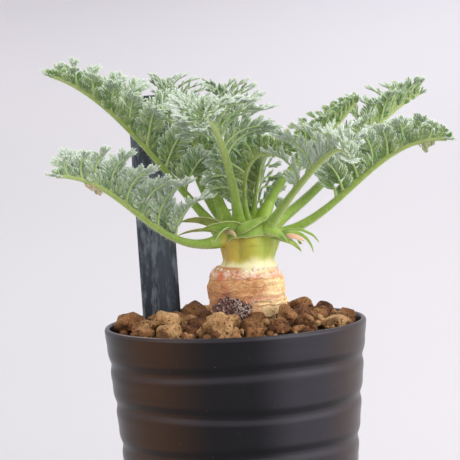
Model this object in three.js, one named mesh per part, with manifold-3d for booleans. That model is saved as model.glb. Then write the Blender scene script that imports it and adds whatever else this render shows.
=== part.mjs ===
// Potted Pelargonium appendiculatum: a rosette of finely cut, woolly leaves on a stout caudex,
// planted in baked-clay gravel in a tapered pot with shallow turned grooves, with a blank plant label.
// Millimetres, +Z up. The origin is the centre of the pot's foot, on the surface that it stands on.
// -Y is the side that the front leaf leans over, and +X is the side of the long right-hand leaf.
import * as THREE from "three";
import { mergeVertices } from "three/addons/utils/BufferGeometryUtils.js";
import Module from "manifold-3d";

const wasm = await Module();
wasm.setup();

// Driving dimensions
const CLEARANCE = 0.3;

const POT_HEIGHT = 86;
const POT_TOP_RADIUS = 45;
const POT_FOOT_RADIUS = 36.8;
const POT_WALL = 1.7;
const POT_SIDES = 28;
const FLOOR_THICKNESS = 2.4;
const FOOT_LIFT = 1.6;
const FOOT_RING_WIDTH = 3;
const FOOT_BOSS_RADIUS = 9;
const GROOVE_SPACING = 13.9;
const TOP_GROOVE_Z = 73.6;
const GROOVE_COUNT = 5;
const GROOVE_DEPTH = 0.55;
const BELLY_PROUD = 0.2;
const DRAIN_COUNT = 6;
const DRAIN_RADIUS = 3.2;
const DRAIN_CIRCLE_RADIUS = 20;

const SOIL_TOP_Z = 84;
const GRAIN_SPIRAL_COUNT = 70;
const GRAIN_SPIRAL_RADIUS = 40;
const GRAIN_SIZE_MIN = 7.6;
const GRAIN_SIZE_MAX = 9.8;
const GRAIN_HEAP = 2.6;
const GOLDEN_ANGLE = Math.PI * (3 - Math.sqrt(5));
// The larger stones, each [x, y, z, radius]
const LARGE_GRAINS = [
  [-5.5, -30.5, 88, 6.2],
  [-22.5, -31.5, 85.4, 4.9],
  [-23.5, -18, 88.8, 5.1],
  [-36, -8, 88.2, 4.8],
  [-14, 13, 88.3, 4.4],
  [17.5, -12, 88.4, 4.1],
  [23, -22, 87.3, 3.7],
  [34, -14, 85.4, 4.7],
  [38, 0, 86.1, 4.3],
  [14.5, -31, 87.2, 3.6],
  [6, -36, 85.8, 4],
  [24, 24, 88, 4.4],
  [31, 17, 87, 4],
];

const PLANT_X = 4.5;
const CAUDEX_TOP_Z = 105.3;
const CAUDEX_SIDES = 20;
// The caudex from its root tip up, each [z, radius]
const CAUDEX_PROFILE = [
  [50, 2.2],
  [62, 6.2],
  [74, 10],
  [84, 11.4],
  [88, 11.7],
  [91.5, 12.4],
  [94, 13],
  [97, 13.3],
  [99.6, 13],
  [101.6, 12.1],
  [103.2, 11.6],
  [104.4, 10.6],
  [CAUDEX_TOP_Z, 9.4],
];
const CAUDEX_ROUGHNESS = 0.28;

const NECK_SIDES = 16;
const NECK_FLUTES = 8;
const NECK_FLUTE_DEPTH = 0.45;
// The fused leaf bases above the caudex, each [height above it, radius]
const NECK_PROFILE = [
  [CLEARANCE, 9.5],
  [4, 9.4],
  [9, 11],
  [12.4, 10.4],
  [16, 6.4],
];

// How steeply a side leaflet rises from the midrib at its root and at its tip, in degrees
const RISE = [82, 25];

// Each leaf's midrib is a cubic curve through these four control points, from the crown to the tip.
// bladeFrom is the share of its length that is bare stalk, and pinna the longest side leaflet. The leaflets
// shorten towards the tip, faster with a greater taper.
// The slender ones are young leaves inside the rosette.
const LEAVES = [
  {
    name: "left_high",
    midrib: [[-3, 0, 116], [-19, 11, 132], [-39, 11, 168], [-63, 14, 174]],
    bladeFrom: 0.24, pinna: 23, pairs: 7, taper: 0.8, rise: RISE,
  },
  {
    name: "left_low",
    midrib: [[-2, -4, 115], [-25, -17, 107], [-34, -28, 141], [-57, -38, 140]],
    bladeFrom: 0.28, pinna: 25, pairs: 7, taper: 0.5, rise: RISE,
  },
  {
    name: "front",
    midrib: [[3, -4, 117], [2, -9, 137], [-5, -25, 166], [-9, -49, 153]],
    bladeFrom: 0.42, pinna: 20, pairs: 7, taper: 0.5, rise: [64, 4],
  },
  {
    name: "back_left",
    midrib: [[0, 5, 119], [-14, 13, 128], [-16, 36, 167], [-25, 56, 166]],
    bladeFrom: 0.44, pinna: 20, pairs: 6, taper: 0.45, rise: RISE,
  },
  {
    name: "back",
    midrib: [[6, 6, 120], [4, 23, 138], [3, 40, 160], [-3, 68, 163]],
    bladeFrom: 0.4, pinna: 21, pairs: 6, taper: 0.45, rise: RISE,
  },
  {
    name: "front_right",
    midrib: [[10, -5, 115], [21, -17, 130], [38, -34, 154], [38, -58, 141]],
    bladeFrom: 0.32, pinna: 20, pairs: 6, taper: 0.6, rise: RISE,
  },
  {
    name: "right",
    midrib: [[12, 0, 115], [38, 4, 116], [51, 4, 150], [77, -1, 145]],
    bladeFrom: 0.38, pinna: 22, pairs: 7, taper: 0.65, rise: RISE,
  },
  {
    name: "back_right",
    midrib: [[14, 6, 118], [38, 22, 131], [54, 41, 155], [75, 64, 162]],
    bladeFrom: 0.5, pinna: 20, pairs: 6, taper: 0.5, rise: RISE,
  },
  {
    name: "right_high",
    midrib: [[11, 4, 120], [19, 12, 141], [35, 19, 144], [47, 22, 161]],
    bladeFrom: 0.42, pinna: 15, pairs: 6, taper: 0.6, rise: RISE,
  },
  {
    name: "left_inner",
    midrib: [[-1, 2, 119], [-6, 5, 133], [-9, 9, 151], [-24, 3, 159]],
    bladeFrom: 0.46, pinna: 13, pairs: 5, taper: 0.6, rise: RISE,
  },
  {
    name: "young", slender: true,
    midrib: [[6, -2, 118], [4, -2, 131], [4, -7, 148], [19, -6, 142]],
    bladeFrom: 0.3, pinna: 12, pairs: 4, taper: 0.4, rise: RISE,
  },
  {
    name: "centre", slender: true,
    midrib: [[8, 4, 118], [8, 7, 128], [11, 3, 138], [12, -3, 143]],
    bladeFrom: 0.1, pinna: 13, pairs: 4, taper: 0.3, rise: [60, 0],
  },
];
const STALK_SIDES = 5;
const STALK_STEPS = 7;
const STALK_RADIUS = 2.2;
const SLENDER_STALK_RADIUS = 1.3;
const MIDRIB_TIP_RADIUS = 0.7;
const BASE_LENGTH = 9;
const SLENDER_BASE_SHARE = 0.6;
const BASE_FLARE = 0.9;

const BLADE_THICKNESS = 0.65;
const RIB_HALF_WIDTH = 0.4;
const BASAL_SHARE = 0.95;
const TIP_SHARE = 0.2;
const SPACING_POWER = 1.35;
const ANGLE_BASE_DEG = 82;
const ANGLE_TIP_DEG = 50;
const SHINGLE_DEG = 20;
const PINNA_DROOP = 0.15;

// Stipules round the crown: direction, length, width, and rise at the root and at the tip
const STIPULES = [
  { azimuth: 200, length: 13, width: 6, from: 40, to: 0 },
  { azimuth: 228, length: 7, width: 7, from: 10, to: -60 },
  { azimuth: 259, length: 5.5, width: 9, from: 30, to: -35 },
  { azimuth: 290, length: 5, width: 9, from: 25, to: -40 },
  { azimuth: 318, length: 8, width: 6, from: 10, to: -35 },
  { azimuth: 345, length: 13, width: 3, from: 35, to: -75 },
  { azimuth: 12, length: 15, width: 3, from: 40, to: -60 },
  { azimuth: 80, length: 8, width: 8, from: 25, to: -40 },
  { azimuth: 150, length: 8, width: 7, from: 25, to: -30 },
];
const STIPULE_ROOT_RADIUS = 9.2;
const STIPULE_ROOT_Z = 113.6;

const LABEL_WIDTH = 13.5;
const LABEL_THICKNESS = 0.8;
const LABEL_TOP_Z = 165;
const LABEL_BOTTOM_Z = 45;
const LABEL_POINT_LENGTH = 12;
const LABEL_PLACE = [-23.9, 18];
const LABEL_LEAN_DEG = 1.3;

const SEED = 20117;

// Repeatable random numbers from 0 to 1 (a Park-Miller generator)
const LCG_FACTOR = 16807;
const LCG_MODULUS = 2147483647;
let randomState = SEED;
function random() {
  randomState = (randomState * LCG_FACTOR) % LCG_MODULUS;
  return randomState / LCG_MODULUS;
}

const mix = (a, b, share) => a + (b - a) * share;
const radians = THREE.MathUtils.degToRad;

// A solid from shared corners and triangles, turned the right way out
function solidOf(corners, triangles) {
  const build = (faces) =>
    new wasm.Manifold(
      new wasm.Mesh({
        numProp: 3,
        vertProperties: new Float32Array(corners.flatMap((p) => [p.x, p.y, p.z])),
        triVerts: new Uint32Array(faces.flat()),
      }),
    );
  const solid = build(triangles);
  return solid.volume() > 0 ? solid : build(triangles.map(([a, b, c]) => [a, c, b]));
}

function solidOfGeometry(geometry) {
  geometry.deleteAttribute("normal");
  geometry.deleteAttribute("uv");
  const merged = mergeVertices(geometry, 1e-4);
  const place = merged.getAttribute("position");
  const corners = [];
  for (let i = 0; i < place.count; i++) corners.push(new THREE.Vector3().fromBufferAttribute(place, i));
  const triangles = [];
  for (let i = 0; i < merged.index.count; i += 3) {
    const [a, b, c] = [0, 1, 2].map((k) => merged.index.getX(i + k));
    if (a !== b && b !== c && c !== a) triangles.push([a, b, c]);
  }
  return solidOf(corners, triangles);
}

function geometryOf(solid) {
  const mesh = solid.getMesh();
  const place = new Float32Array(mesh.numVert * 3);
  for (let i = 0; i < mesh.numVert; i++) {
    place.set(mesh.vertProperties.subarray(i * mesh.numProp, i * mesh.numProp + 3), i * 3);
  }
  const geometry = new THREE.BufferGeometry();
  geometry.setAttribute("position", new THREE.BufferAttribute(place, 3));
  geometry.setIndex(new THREE.BufferAttribute(new Uint32Array(mesh.triVerts), 1));
  geometry.computeVertexNormals();
  return geometry;
}

const joined = (solids) => wasm.Manifold.union(solids);

// The largest of a solid's bodies: loose scraps are dropped
function largestBody(solid) {
  return solid.decompose().reduce((best, body) => (body.volume() > best.volume() ? body : best));
}

// A closed body through rings of equally many points, with flat ends
function loft(rings) {
  const sides = rings[0].length;
  const corners = rings.flat();
  const triangles = [];
  for (let k = 0; k + 1 < rings.length; k++) {
    for (let i = 0; i < sides; i++) {
      const [a, b] = [k * sides + i, k * sides + ((i + 1) % sides)];
      triangles.push([a, b, b + sides], [a, b + sides, a + sides]);
    }
  }
  const last = (rings.length - 1) * sides;
  for (let i = 1; i + 1 < sides; i++) {
    triangles.push([0, i + 1, i], [last, last + i, last + i + 1]);
  }
  return solidOf(corners, triangles);
}

// A body turned about the Z axis through (x, 0), from [z, radius] pairs and a radius change by angle
function turned(profile, sides, x, ripple = () => 0) {
  return loft(
    profile.map(([z, radius], k) =>
      Array.from({ length: sides }, (_, i) => {
        const angle = (2 * Math.PI * i) / sides;
        const r = radius + ripple(angle, k, i);
        return new THREE.Vector3(x + r * Math.cos(angle), r * Math.sin(angle), z);
      }),
    ),
  );
}

function lathe(points, sides) {
  const outline = points.map(([r, z]) => new THREE.Vector2(r, z));
  return solidOfGeometry(new THREE.LatheGeometry(outline, sides).rotateX(Math.PI / 2));
}

const potRadius = (z) => mix(POT_FOOT_RADIUS, POT_TOP_RADIUS, z / POT_HEIGHT);

// The pot: a thin tapered shell with turned grooves, a foot ring, a middle boss and drain holes
function makePot() {
  const ringInner = POT_FOOT_RADIUS - FOOT_RING_WIDTH;
  const floorTop = FOOT_LIFT + FLOOR_THICKNESS;
  const outline = [
    [0, 0],
    [FOOT_BOSS_RADIUS, 0],
    [FOOT_BOSS_RADIUS + 1, FOOT_LIFT],
    [ringInner - 1, FOOT_LIFT],
    [ringInner, 0],
    [POT_FOOT_RADIUS - 0.6, 0],
    [POT_FOOT_RADIUS, 0.8],
  ];
  for (let k = GROOVE_COUNT - 1; k >= 0; k--) {
    const z = TOP_GROOVE_Z - k * GROOVE_SPACING;
    outline.push([potRadius(z - 1.6) + BELLY_PROUD, z - 1.6]);
    outline.push([potRadius(z) - GROOVE_DEPTH, z]);
    outline.push([potRadius(z + 1.2) + BELLY_PROUD, z + 1.2]);
  }
  outline.push([POT_TOP_RADIUS, POT_HEIGHT - 0.8]);
  outline.push([POT_TOP_RADIUS - 0.6, POT_HEIGHT]);
  outline.push([POT_TOP_RADIUS - POT_WALL + 0.3, POT_HEIGHT]);
  outline.push([POT_TOP_RADIUS - POT_WALL, POT_HEIGHT - 0.8]);
  outline.push([potRadius(floorTop) - POT_WALL, floorTop]);
  outline.push([0, floorTop]);
  const shell = lathe(outline, POT_SIDES);
  const drains = Array.from({ length: DRAIN_COUNT }, (_, k) => {
    const angle = (2 * Math.PI * (k + 0.5)) / DRAIN_COUNT;
    const drain = new THREE.CylinderGeometry(DRAIN_RADIUS, DRAIN_RADIUS, 3 * floorTop, 8).rotateX(Math.PI / 2);
    drain.translate(DRAIN_CIRCLE_RADIUS * Math.cos(angle), DRAIN_CIRCLE_RADIUS * Math.sin(angle), 0);
    return solidOfGeometry(drain);
  });
  return shell.subtract(joined(drains));
}

// The caudex, swollen above the soil and tapering to its root, with ridged bark.
// grow makes it larger all round, for the hole that it stands in.
function makeCaudex(grow = 0) {
  const bark = (angle, ring) => {
    const share = ring > 2 ? 1 : 0.4;
    const waves = Math.sin(3 * angle + 1.7 * ring) + 0.7 * Math.sin(5 * angle - 2.3 * ring);
    return grow + share * CAUDEX_ROUGHNESS * waves + (ring % 2 ? 0.15 : -0.1);
  };
  const profile = CAUDEX_PROFILE.map(([z, radius]) => [z, radius]);
  profile[0][0] -= grow;
  return turned(profile, CAUDEX_SIDES, PLANT_X, bark);
}

const innerRadius = (z) => potRadius(z) - POT_WALL;
const plantDistance = (x, y) => Math.hypot(x - PLANT_X, y);

// One clay grain, a block or a twenty-sided body, with uneven corners and turned at random
function grain(x, y, z, radius, blocky) {
  const edge = 1.42 * radius;
  const shape = blocky ? new THREE.BoxGeometry(edge, edge, edge) : new THREE.IcosahedronGeometry(radius, 0);
  shape.deleteAttribute("normal");
  shape.deleteAttribute("uv");
  const merged = mergeVertices(shape, 1e-4);
  const place = merged.getAttribute("position");
  const squash = mix(0.72, 0.95, random());
  const turn = new THREE.Matrix4().makeRotationFromEuler(
    new THREE.Euler(random() * Math.PI, random() * Math.PI, random() * Math.PI),
  );
  for (let i = 0; i < place.count; i++) {
    const corner = new THREE.Vector3().fromBufferAttribute(place, i);
    corner.multiplyScalar(mix(0.84, 1.06, random())).applyMatrix4(turn);
    place.setXYZ(i, corner.x, corner.y, corner.z * squash);
  }
  merged.translate(x, y, z);
  return solidOfGeometry(merged);
}

// Where the grains lie: the large ones, then a golden-angle spiral of smaller ones between them
function grainPlaces() {
  const places = LARGE_GRAINS.map((stone) => [...stone, false]);
  for (let i = 0; i < GRAIN_SPIRAL_COUNT; i++) {
    const reach = GRAIN_SPIRAL_RADIUS * Math.sqrt((i + 0.5) / GRAIN_SPIRAL_COUNT);
    const angle = i * GOLDEN_ANGLE;
    const radius = mix(GRAIN_SIZE_MIN, GRAIN_SIZE_MAX, random()) / 2;
    const x = reach * Math.cos(angle) + mix(-1, 1, random());
    const y = reach * Math.sin(angle) + mix(-1, 1, random());
    const heap = GRAIN_HEAP * (1 - (reach / GRAIN_SPIRAL_RADIUS) ** 2);
    const z = SOIL_TOP_Z + 0.6 + heap + mix(-0.4, 0.9, random());
    const crowded = LARGE_GRAINS.some(([lx, ly, , r]) => Math.hypot(x - lx, y - ly) < 0.7 * (r + radius));
    if (!crowded && plantDistance(x, y) > 11) places.push([x, y, z, radius, true]);
  }
  return places.map(([x, y, z, radius, blocky]) => {
    const reach = Math.hypot(x, y);
    const most = innerRadius(SOIL_TOP_Z) - CLEARANCE - 0.4 - 1.06 * radius;
    const pull = reach > most ? most / reach : 1;
    return [x * pull, y * pull, z, radius, blocky];
  });
}

// The soil fills the pot. Grains stand proud of its top, and the caudex and label have their holes.
function makeSoil() {
  const bottom = FOOT_LIFT + FLOOR_THICKNESS + CLEARANCE;
  const body = lathe(
    [
      [0, bottom],
      [innerRadius(bottom) - CLEARANCE - 0.1, bottom],
      [innerRadius(SOIL_TOP_Z) - CLEARANCE - 0.1, SOIL_TOP_Z],
      [0, SOIL_TOP_Z + 1],
    ],
    POT_SIDES,
  );
  const grains = grainPlaces().map((place) => grain(...place));
  return largestBody(
    joined([body, ...grains])
      .subtract(makeCaudex(CLEARANCE))
      .subtract(makeLabel(CLEARANCE)),
  );
}

// The blank label: a flat strip with a pointed foot pushed into the soil
function makeLabel(grow = 0) {
  const half = LABEL_WIDTH / 2 + grow;
  const outline = new THREE.Shape([
    new THREE.Vector2(0, LABEL_BOTTOM_Z - 2 * grow),
    new THREE.Vector2(half, LABEL_BOTTOM_Z + LABEL_POINT_LENGTH),
    new THREE.Vector2(half, LABEL_TOP_Z - 1),
    new THREE.Vector2(half - 1, LABEL_TOP_Z),
    new THREE.Vector2(1 - half, LABEL_TOP_Z),
    new THREE.Vector2(-half, LABEL_TOP_Z - 1),
    new THREE.Vector2(-half, LABEL_BOTTOM_Z + LABEL_POINT_LENGTH),
  ]);
  const depth = LABEL_THICKNESS + 2 * grow;
  const strip = new THREE.ExtrudeGeometry(outline, { depth, bevelEnabled: false });
  strip.translate(0, 0, -depth / 2).rotateX(Math.PI / 2);
  strip.rotateY(-radians(LABEL_LEAN_DEG)).translate(...LABEL_PLACE, 0);
  return solidOfGeometry(strip);
}

// A leaf's midrib as a curve, with its side and upper directions
function midribOf(leaf) {
  const points = leaf.midrib.map((p) => new THREE.Vector3(...p));
  const curve = new THREE.CubicBezierCurve3(...points);
  const azimuth = Math.atan2(points[3].y - points[0].y, points[3].x - points[0].x);
  const across = new THREE.Vector3(-Math.sin(azimuth), Math.cos(azimuth), 0);
  const length = curve.getLength();
  const frameAt = (share) => {
    const along = curve.getTangentAt(share);
    const side = across.clone().addScaledVector(along, -across.dot(along)).normalize();
    return { at: curve.getPointAt(share), along, side, up: along.clone().cross(side) };
  };
  return { length, frameAt };
}

function stalkRadius(leaf, share) {
  const base = leaf.slender ? SLENDER_STALK_RADIUS : STALK_RADIUS;
  const bladeRadius = 0.68 * base;
  return share < leaf.bladeFrom
    ? mix(base, bladeRadius, share / leaf.bladeFrom)
    : mix(bladeRadius, MIDRIB_TIP_RADIUS, (share - leaf.bladeFrom) / (1 - leaf.bladeFrom));
}

// A round stalk along the midrib between two shares of its length
function stalk(leaf, midrib, from, to, steps, grow = () => 0) {
  const rings = [];
  for (let k = 0; k <= steps; k++) {
    const share = mix(from, to, k / steps);
    const { at, side, up } = midrib.frameAt(share);
    const radius = stalkRadius(leaf, share) + grow(k / steps);
    rings.push(
      Array.from({ length: STALK_SIDES }, (_, i) => {
        const angle = (2 * Math.PI * (i + 0.5)) / STALK_SIDES;
        return at
          .clone()
          .addScaledVector(side, radius * Math.cos(angle))
          .addScaledVector(up, radius * Math.sin(angle));
      }),
    );
  }
  return loft(rings);
}

// A thin plate with the given outline of [along, across] points, each face split alike.
// placeOf gives the point on its middle surface and the direction of its thickness there.
function plate(outline, placeOf, thickness) {
  const faces = THREE.ShapeUtils.triangulateShape(
    outline.map(([v, w]) => new THREE.Vector2(v, w)),
    [],
  );
  const count = outline.length;
  const corners = [];
  for (const share of [-0.5, 0.5]) {
    for (const [v, w] of outline) {
      const { at, normal } = placeOf(v, w);
      corners.push(at.clone().addScaledVector(normal, share * thickness));
    }
  }
  const triangles = faces.flatMap(([a, b, c]) => [
    [a, c, b],
    [a + count, b + count, c + count],
  ]);
  for (let i = 0; i < count; i++) {
    const next = (i + 1) % count;
    triangles.push([i, next, next + count], [i, next + count, i + count]);
  }
  const area = THREE.ShapeUtils.area(outline.map(([v, w]) => new THREE.Vector2(v, w)));
  return solidOf(corners, area > 0 ? triangles : triangles.map(([a, b, c]) => [a, c, b]));
}

// A feather-cut outline: pointed lobes on both sides of a rib, cut nearly to it
function cutOutline(length, reach, lobes) {
  const stalkShare = 0.26;
  const sideOf = (sign) => {
    const points = [[0, sign * RIB_HALF_WIDTH]];
    for (let i = 0; i < lobes; i++) {
      const root = mix(stalkShare, 0.86, i / lobes) * length;
      const swell = Math.sin(Math.PI * mix(0.3, 0.8, (i + 0.5) / lobes));
      points.push([root, sign * RIB_HALF_WIDTH]);
      points.push([root + 0.55 * reach + 0.04 * length, sign * (RIB_HALF_WIDTH + reach * swell)]);
    }
    points.push([0.86 * length, sign * RIB_HALF_WIDTH]);
    return points;
  };
  return [...sideOf(-1), [length, 0], ...sideOf(1).reverse()];
}

// A side leaflet: a thin cut blade that rises from the midrib and arches over outwards
function pinna(frame, sign, length, reach, lobes, angle, rises) {
  const side = frame.side.clone().multiplyScalar(sign);
  const heading = (share) => {
    const rise = radians(mix(rises[0], rises[1], share));
    return frame.along
      .clone()
      .multiplyScalar(Math.cos(angle))
      .addScaledVector(side, Math.sin(angle) * Math.cos(rise))
      .addScaledVector(frame.up, Math.sin(angle) * Math.sin(rise));
  };
  const ribSteps = 12;
  const rib = [frame.at.clone()];
  for (let k = 0; k < ribSteps; k++) {
    rib.push(rib[k].clone().addScaledVector(heading((k + 0.5) / ribSteps), length / ribSteps));
  }
  const shingle = radians(SHINGLE_DEG);
  const placeOf = (v, w) => {
    const share = THREE.MathUtils.clamp(v / length, 0, 1);
    const k = Math.min(Math.floor(share * ribSteps), ribSteps - 1);
    const direction = heading(share);
    const forward = frame.along.clone().addScaledVector(direction, -frame.along.dot(direction)).normalize();
    const outer = direction.clone().cross(forward).multiplyScalar(-sign);
    const across = forward
      .clone()
      .multiplyScalar(Math.cos(shingle))
      .addScaledVector(outer, -Math.sin(shingle));
    const at = rib[k].clone().lerp(rib[k + 1], share * ribSteps - k);
    at.addScaledVector(direction, v - share * length).addScaledVector(across, w);
    at.addScaledVector(outer, -PINNA_DROOP * Math.abs(w));
    return { at, normal: outer };
  };
  return plate(cutOutline(length, reach, lobes), placeOf, BLADE_THICKNESS);
}

// The fan of lobes at the very tip of a leaf
function tipFan(frame, length) {
  const placeOf = (v, w) => ({
    at: frame.at.clone().addScaledVector(frame.along, v).addScaledVector(frame.side, w),
    normal: frame.up,
  });
  return plate(cutOutline(length, 0.5 * length, 1), placeOf, BLADE_THICKNESS);
}

const REACH_TRIES = [
  [0, 1],
  [14, 1],
  [-14, 1],
  [26, 0.9],
  [-26, 0.85],
  [10, 0.75],
  [-10, 0.7],
  [20, 0.55],
  [0, 0.45],
];

function touches(solid, others) {
  return others.some((other) => solid.minGap(other, CLEARANCE) < 0.6 * CLEARANCE);
}

// A leaf with its side leaflets. One that would meet a neighbour is bent or shortened until it is clear.
function makeLeaf(leaf, midrib, bareStalk, neighbours) {
  const pieces = [bareStalk];
  for (let i = 0; i < leaf.pairs; i++) {
    const share = i / leaf.pairs;
    const at = mix(leaf.bladeFrom, 0.95, 1 - (1 - share) ** SPACING_POWER);
    const next = mix(leaf.bladeFrom, 0.95, 1 - (1 - (i + 1) / leaf.pairs) ** SPACING_POWER);
    const full = leaf.pinna * (1 - share) ** leaf.taper * (i === 0 ? BASAL_SHARE : 1);
    const spacing = (next - at) * midrib.length;
    const lobes = full > 15.5 ? 3 : full > 7.5 ? 2 : 1;
    const angle = radians(mix(ANGLE_BASE_DEG, ANGLE_TIP_DEG, share));
    for (const sign of [1, -1]) {
      const frame = midrib.frameAt(at + (sign > 0 ? 0 : 0.4 * (next - at)));
      for (const [lift, scale] of REACH_TRIES) {
        const length = full * scale;
        const reach = Math.min(0.62 * spacing + 1, 0.36 * length);
        const rises = leaf.rise.map((degrees) => degrees + lift);
        const blade = pinna(frame, sign, length, reach, lobes, angle, rises);
        if (!touches(blade, neighbours)) {
          pieces.push(blade);
          break;
        }
      }
    }
  }
  const fan = tipFan(midrib.frameAt(0.96), TIP_SHARE * leaf.pinna);
  if (!touches(fan, neighbours)) pieces.push(fan);
  return largestBody(joined(pieces));
}

// A papery stipule: a pointed blade that arches out from the crown
function stipule({ azimuth, length, width, from, to }) {
  const angle = radians(azimuth);
  const out = new THREE.Vector3(Math.cos(angle), Math.sin(angle), 0);
  const across = new THREE.Vector3(-Math.sin(angle), Math.cos(angle), 0);
  const steps = 10;
  const heading = (share) => {
    const rise = radians(mix(from, to, share));
    return out.clone().multiplyScalar(Math.cos(rise)).setZ(Math.sin(rise));
  };
  const root = new THREE.Vector3(PLANT_X, 0, STIPULE_ROOT_Z).addScaledVector(out, STIPULE_ROOT_RADIUS - 2);
  const placeOf = (v, w) => {
    const at = root.clone().addScaledVector(across, w);
    for (let k = 0; k < steps; k++) at.addScaledVector(heading(((k + 0.5) / steps) * (v / length)), v / steps);
    const direction = heading(v / length);
    return { at, normal: direction.clone().cross(across) };
  };
  const outline = [0, 0.35, 0.75].map((share) => [
    share * length,
    (width / 2) * Math.sqrt(1 - share ** 2) * mix(0.9, 1.1, share),
  ]);
  const mirrored = outline.map(([v, w]) => [v, -w]);
  return plate([...mirrored, [length, 0], ...outline.reverse()], placeOf, BLADE_THICKNESS);
}

// The crown: the fused leaf bases on the caudex, a stub for each leaf, and the stipules
function makeCrown(stubs, sleeves) {
  const flute = (angle) => NECK_FLUTE_DEPTH * Math.cos(NECK_FLUTES * angle);
  const profile = NECK_PROFILE.map(([height, radius]) => [CAUDEX_TOP_Z + height, radius]);
  const neck = turned(profile, NECK_SIDES, PLANT_X, flute);
  const whole = joined([neck, ...stubs, ...STIPULES.map(stipule)]);
  return largestBody(whole.subtract(joined(sleeves)));
}

function named(name, solid, colour, roughness) {
  const material = new THREE.MeshStandardMaterial({ color: colour, roughness, metalness: 0 });
  const mesh = new THREE.Mesh(geometryOf(solid), material);
  mesh.name = name;
  return mesh;
}

const pot = makePot();
const soil = makeSoil();
const caudex = makeCaudex();
const label = makeLabel();

// Each leaf's stalk starts at the end of its stub on the crown, a hair's breadth clear of it
const grown = LEAVES.map((leaf) => {
  const midrib = midribOf(leaf);
  const baseShare = (leaf.slender ? SLENDER_BASE_SHARE : 1) * (BASE_LENGTH / midrib.length);
  const gapShare = CLEARANCE / midrib.length;
  const flare = (share) => BASE_FLARE * (1 - share);
  return {
    leaf,
    midrib,
    stub: stalk(leaf, midrib, 0, baseShare, 2, flare),
    sleeve: stalk(leaf, midrib, baseShare, baseShare + 12 * gapShare, 2, () => CLEARANCE),
    bareStalk: stalk(leaf, midrib, baseShare + gapShare, 0.975, STALK_STEPS),
  };
});
const crown = makeCrown(
  grown.map(({ stub }) => stub),
  grown.map(({ sleeve }) => sleeve),
);

const group = new THREE.Group();
group.name = "potted_pelargonium_appendiculatum";
group.add(named("pot", pot, 0x2b2a2c, 0.42));
group.add(named("soil", soil, 0x8a6440, 0.95));
group.add(named("caudex", caudex, 0xc79a62, 0.8));
group.add(named("crown", crown, 0xb3b45a, 0.55));
group.add(named("plant_label", label, 0x2a3036, 0.4));

const finished = [];
grown.forEach(({ leaf, midrib, bareStalk }, index) => {
  const otherStalks = grown.filter((_, k) => k > index).map((other) => other.bareStalk);
  const neighbours = [crown, label, soil, pot, ...otherStalks, ...finished];
  const solid = makeLeaf(leaf, midrib, bareStalk, neighbours);
  finished.push(solid);
  group.add(named(`leaf_${leaf.name}`, solid, 0x7f9a6e, 0.75));
});

export default group;
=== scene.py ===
"""The looks of the potted Pelargonium appendiculatum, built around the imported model.

Pieces are worked out in millimetres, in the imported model's frame, and scaled to metres when
their meshes are made. The numbers that place them repeat those of the part's source.
"""
import math

import bmesh
import bpy
import numpy as np
from mathutils import Matrix, Vector


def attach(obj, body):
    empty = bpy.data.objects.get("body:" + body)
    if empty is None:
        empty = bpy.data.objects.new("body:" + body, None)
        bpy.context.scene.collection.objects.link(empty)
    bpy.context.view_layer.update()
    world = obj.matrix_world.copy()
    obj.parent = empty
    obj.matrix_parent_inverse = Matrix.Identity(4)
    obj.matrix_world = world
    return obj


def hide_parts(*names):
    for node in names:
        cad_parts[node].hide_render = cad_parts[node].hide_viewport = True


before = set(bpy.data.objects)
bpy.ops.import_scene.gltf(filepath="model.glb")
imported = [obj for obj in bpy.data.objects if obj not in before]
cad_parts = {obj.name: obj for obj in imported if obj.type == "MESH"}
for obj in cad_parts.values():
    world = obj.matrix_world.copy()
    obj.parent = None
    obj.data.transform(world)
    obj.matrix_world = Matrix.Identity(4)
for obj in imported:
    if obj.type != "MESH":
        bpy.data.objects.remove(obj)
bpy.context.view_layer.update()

MM = 0.001
UP = np.array([0.0, 0.0, 1.0])

# The part's dimensions
CLEARANCE = 0.3
POT_HEIGHT = 86
POT_TOP_RADIUS = 45
POT_FOOT_RADIUS = 36.8
POT_WALL = 1.7
FLOOR_THICKNESS = 2.4
FOOT_LIFT = 1.6
FOOT_RING_WIDTH = 3
FOOT_BOSS_RADIUS = 9
GROOVE_SPACING = 13.9
TOP_GROOVE_Z = 73.6
GROOVE_COUNT = 5
DRAIN_COUNT = 6
DRAIN_RADIUS = 3.2
DRAIN_CIRCLE_RADIUS = 20

SOIL_TOP_Z = 84
GRAIN_SPIRAL_COUNT = 70
GRAIN_SPIRAL_RADIUS = 40
GRAIN_SIZE_MIN = 7.6
GRAIN_SIZE_MAX = 9.8
GRAIN_HEAP = 2.6
GOLDEN_ANGLE = math.pi * (3 - math.sqrt(5))
# The larger stones: x, y, z, radius, and which of the clay tones each has
LARGE_GRAINS = [
    (-5.5, -30.5, 88, 6.2, 0), (-22.5, -31.5, 85.4, 4.9, 0), (-23.5, -18, 88.8, 5.1, 0),
    (-36, -8, 88.2, 4.8, 1), (-14, 13, 88.3, 4.4, 1), (17.5, -12, 88.4, 4.1, 1), (23, -22, 87.3, 3.7, 1),
    (34, -14, 85.4, 4.7, 0), (38, 0, 86.1, 4.3, 1), (14.5, -31, 87.2, 3.6, 2), (6, -36, 85.8, 4, 1),
    (24, 24, 88, 4.4, 1), (31, 17, 87, 4, 2),
]

PLANT_X = 4.5
CAUDEX_TOP_Z = 105.3
# The caudex from its root tip up: z, radius
CAUDEX_PROFILE = [
    (50, 2.2), (62, 6.2), (74, 10), (84, 11.4), (88, 11.7), (91.5, 12.4), (94, 13), (97, 13.3), (99.6, 13),
    (101.6, 12.1), (103.2, 11.6), (104.4, 10.6), (CAUDEX_TOP_Z, 9.4),
]
CAUDEX_LEVELS, CAUDEX_RADII = zip(*CAUDEX_PROFILE)

# How steeply a side leaflet rises from the midrib at its root and at its tip, in degrees
RISE = (82, 25)
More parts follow.
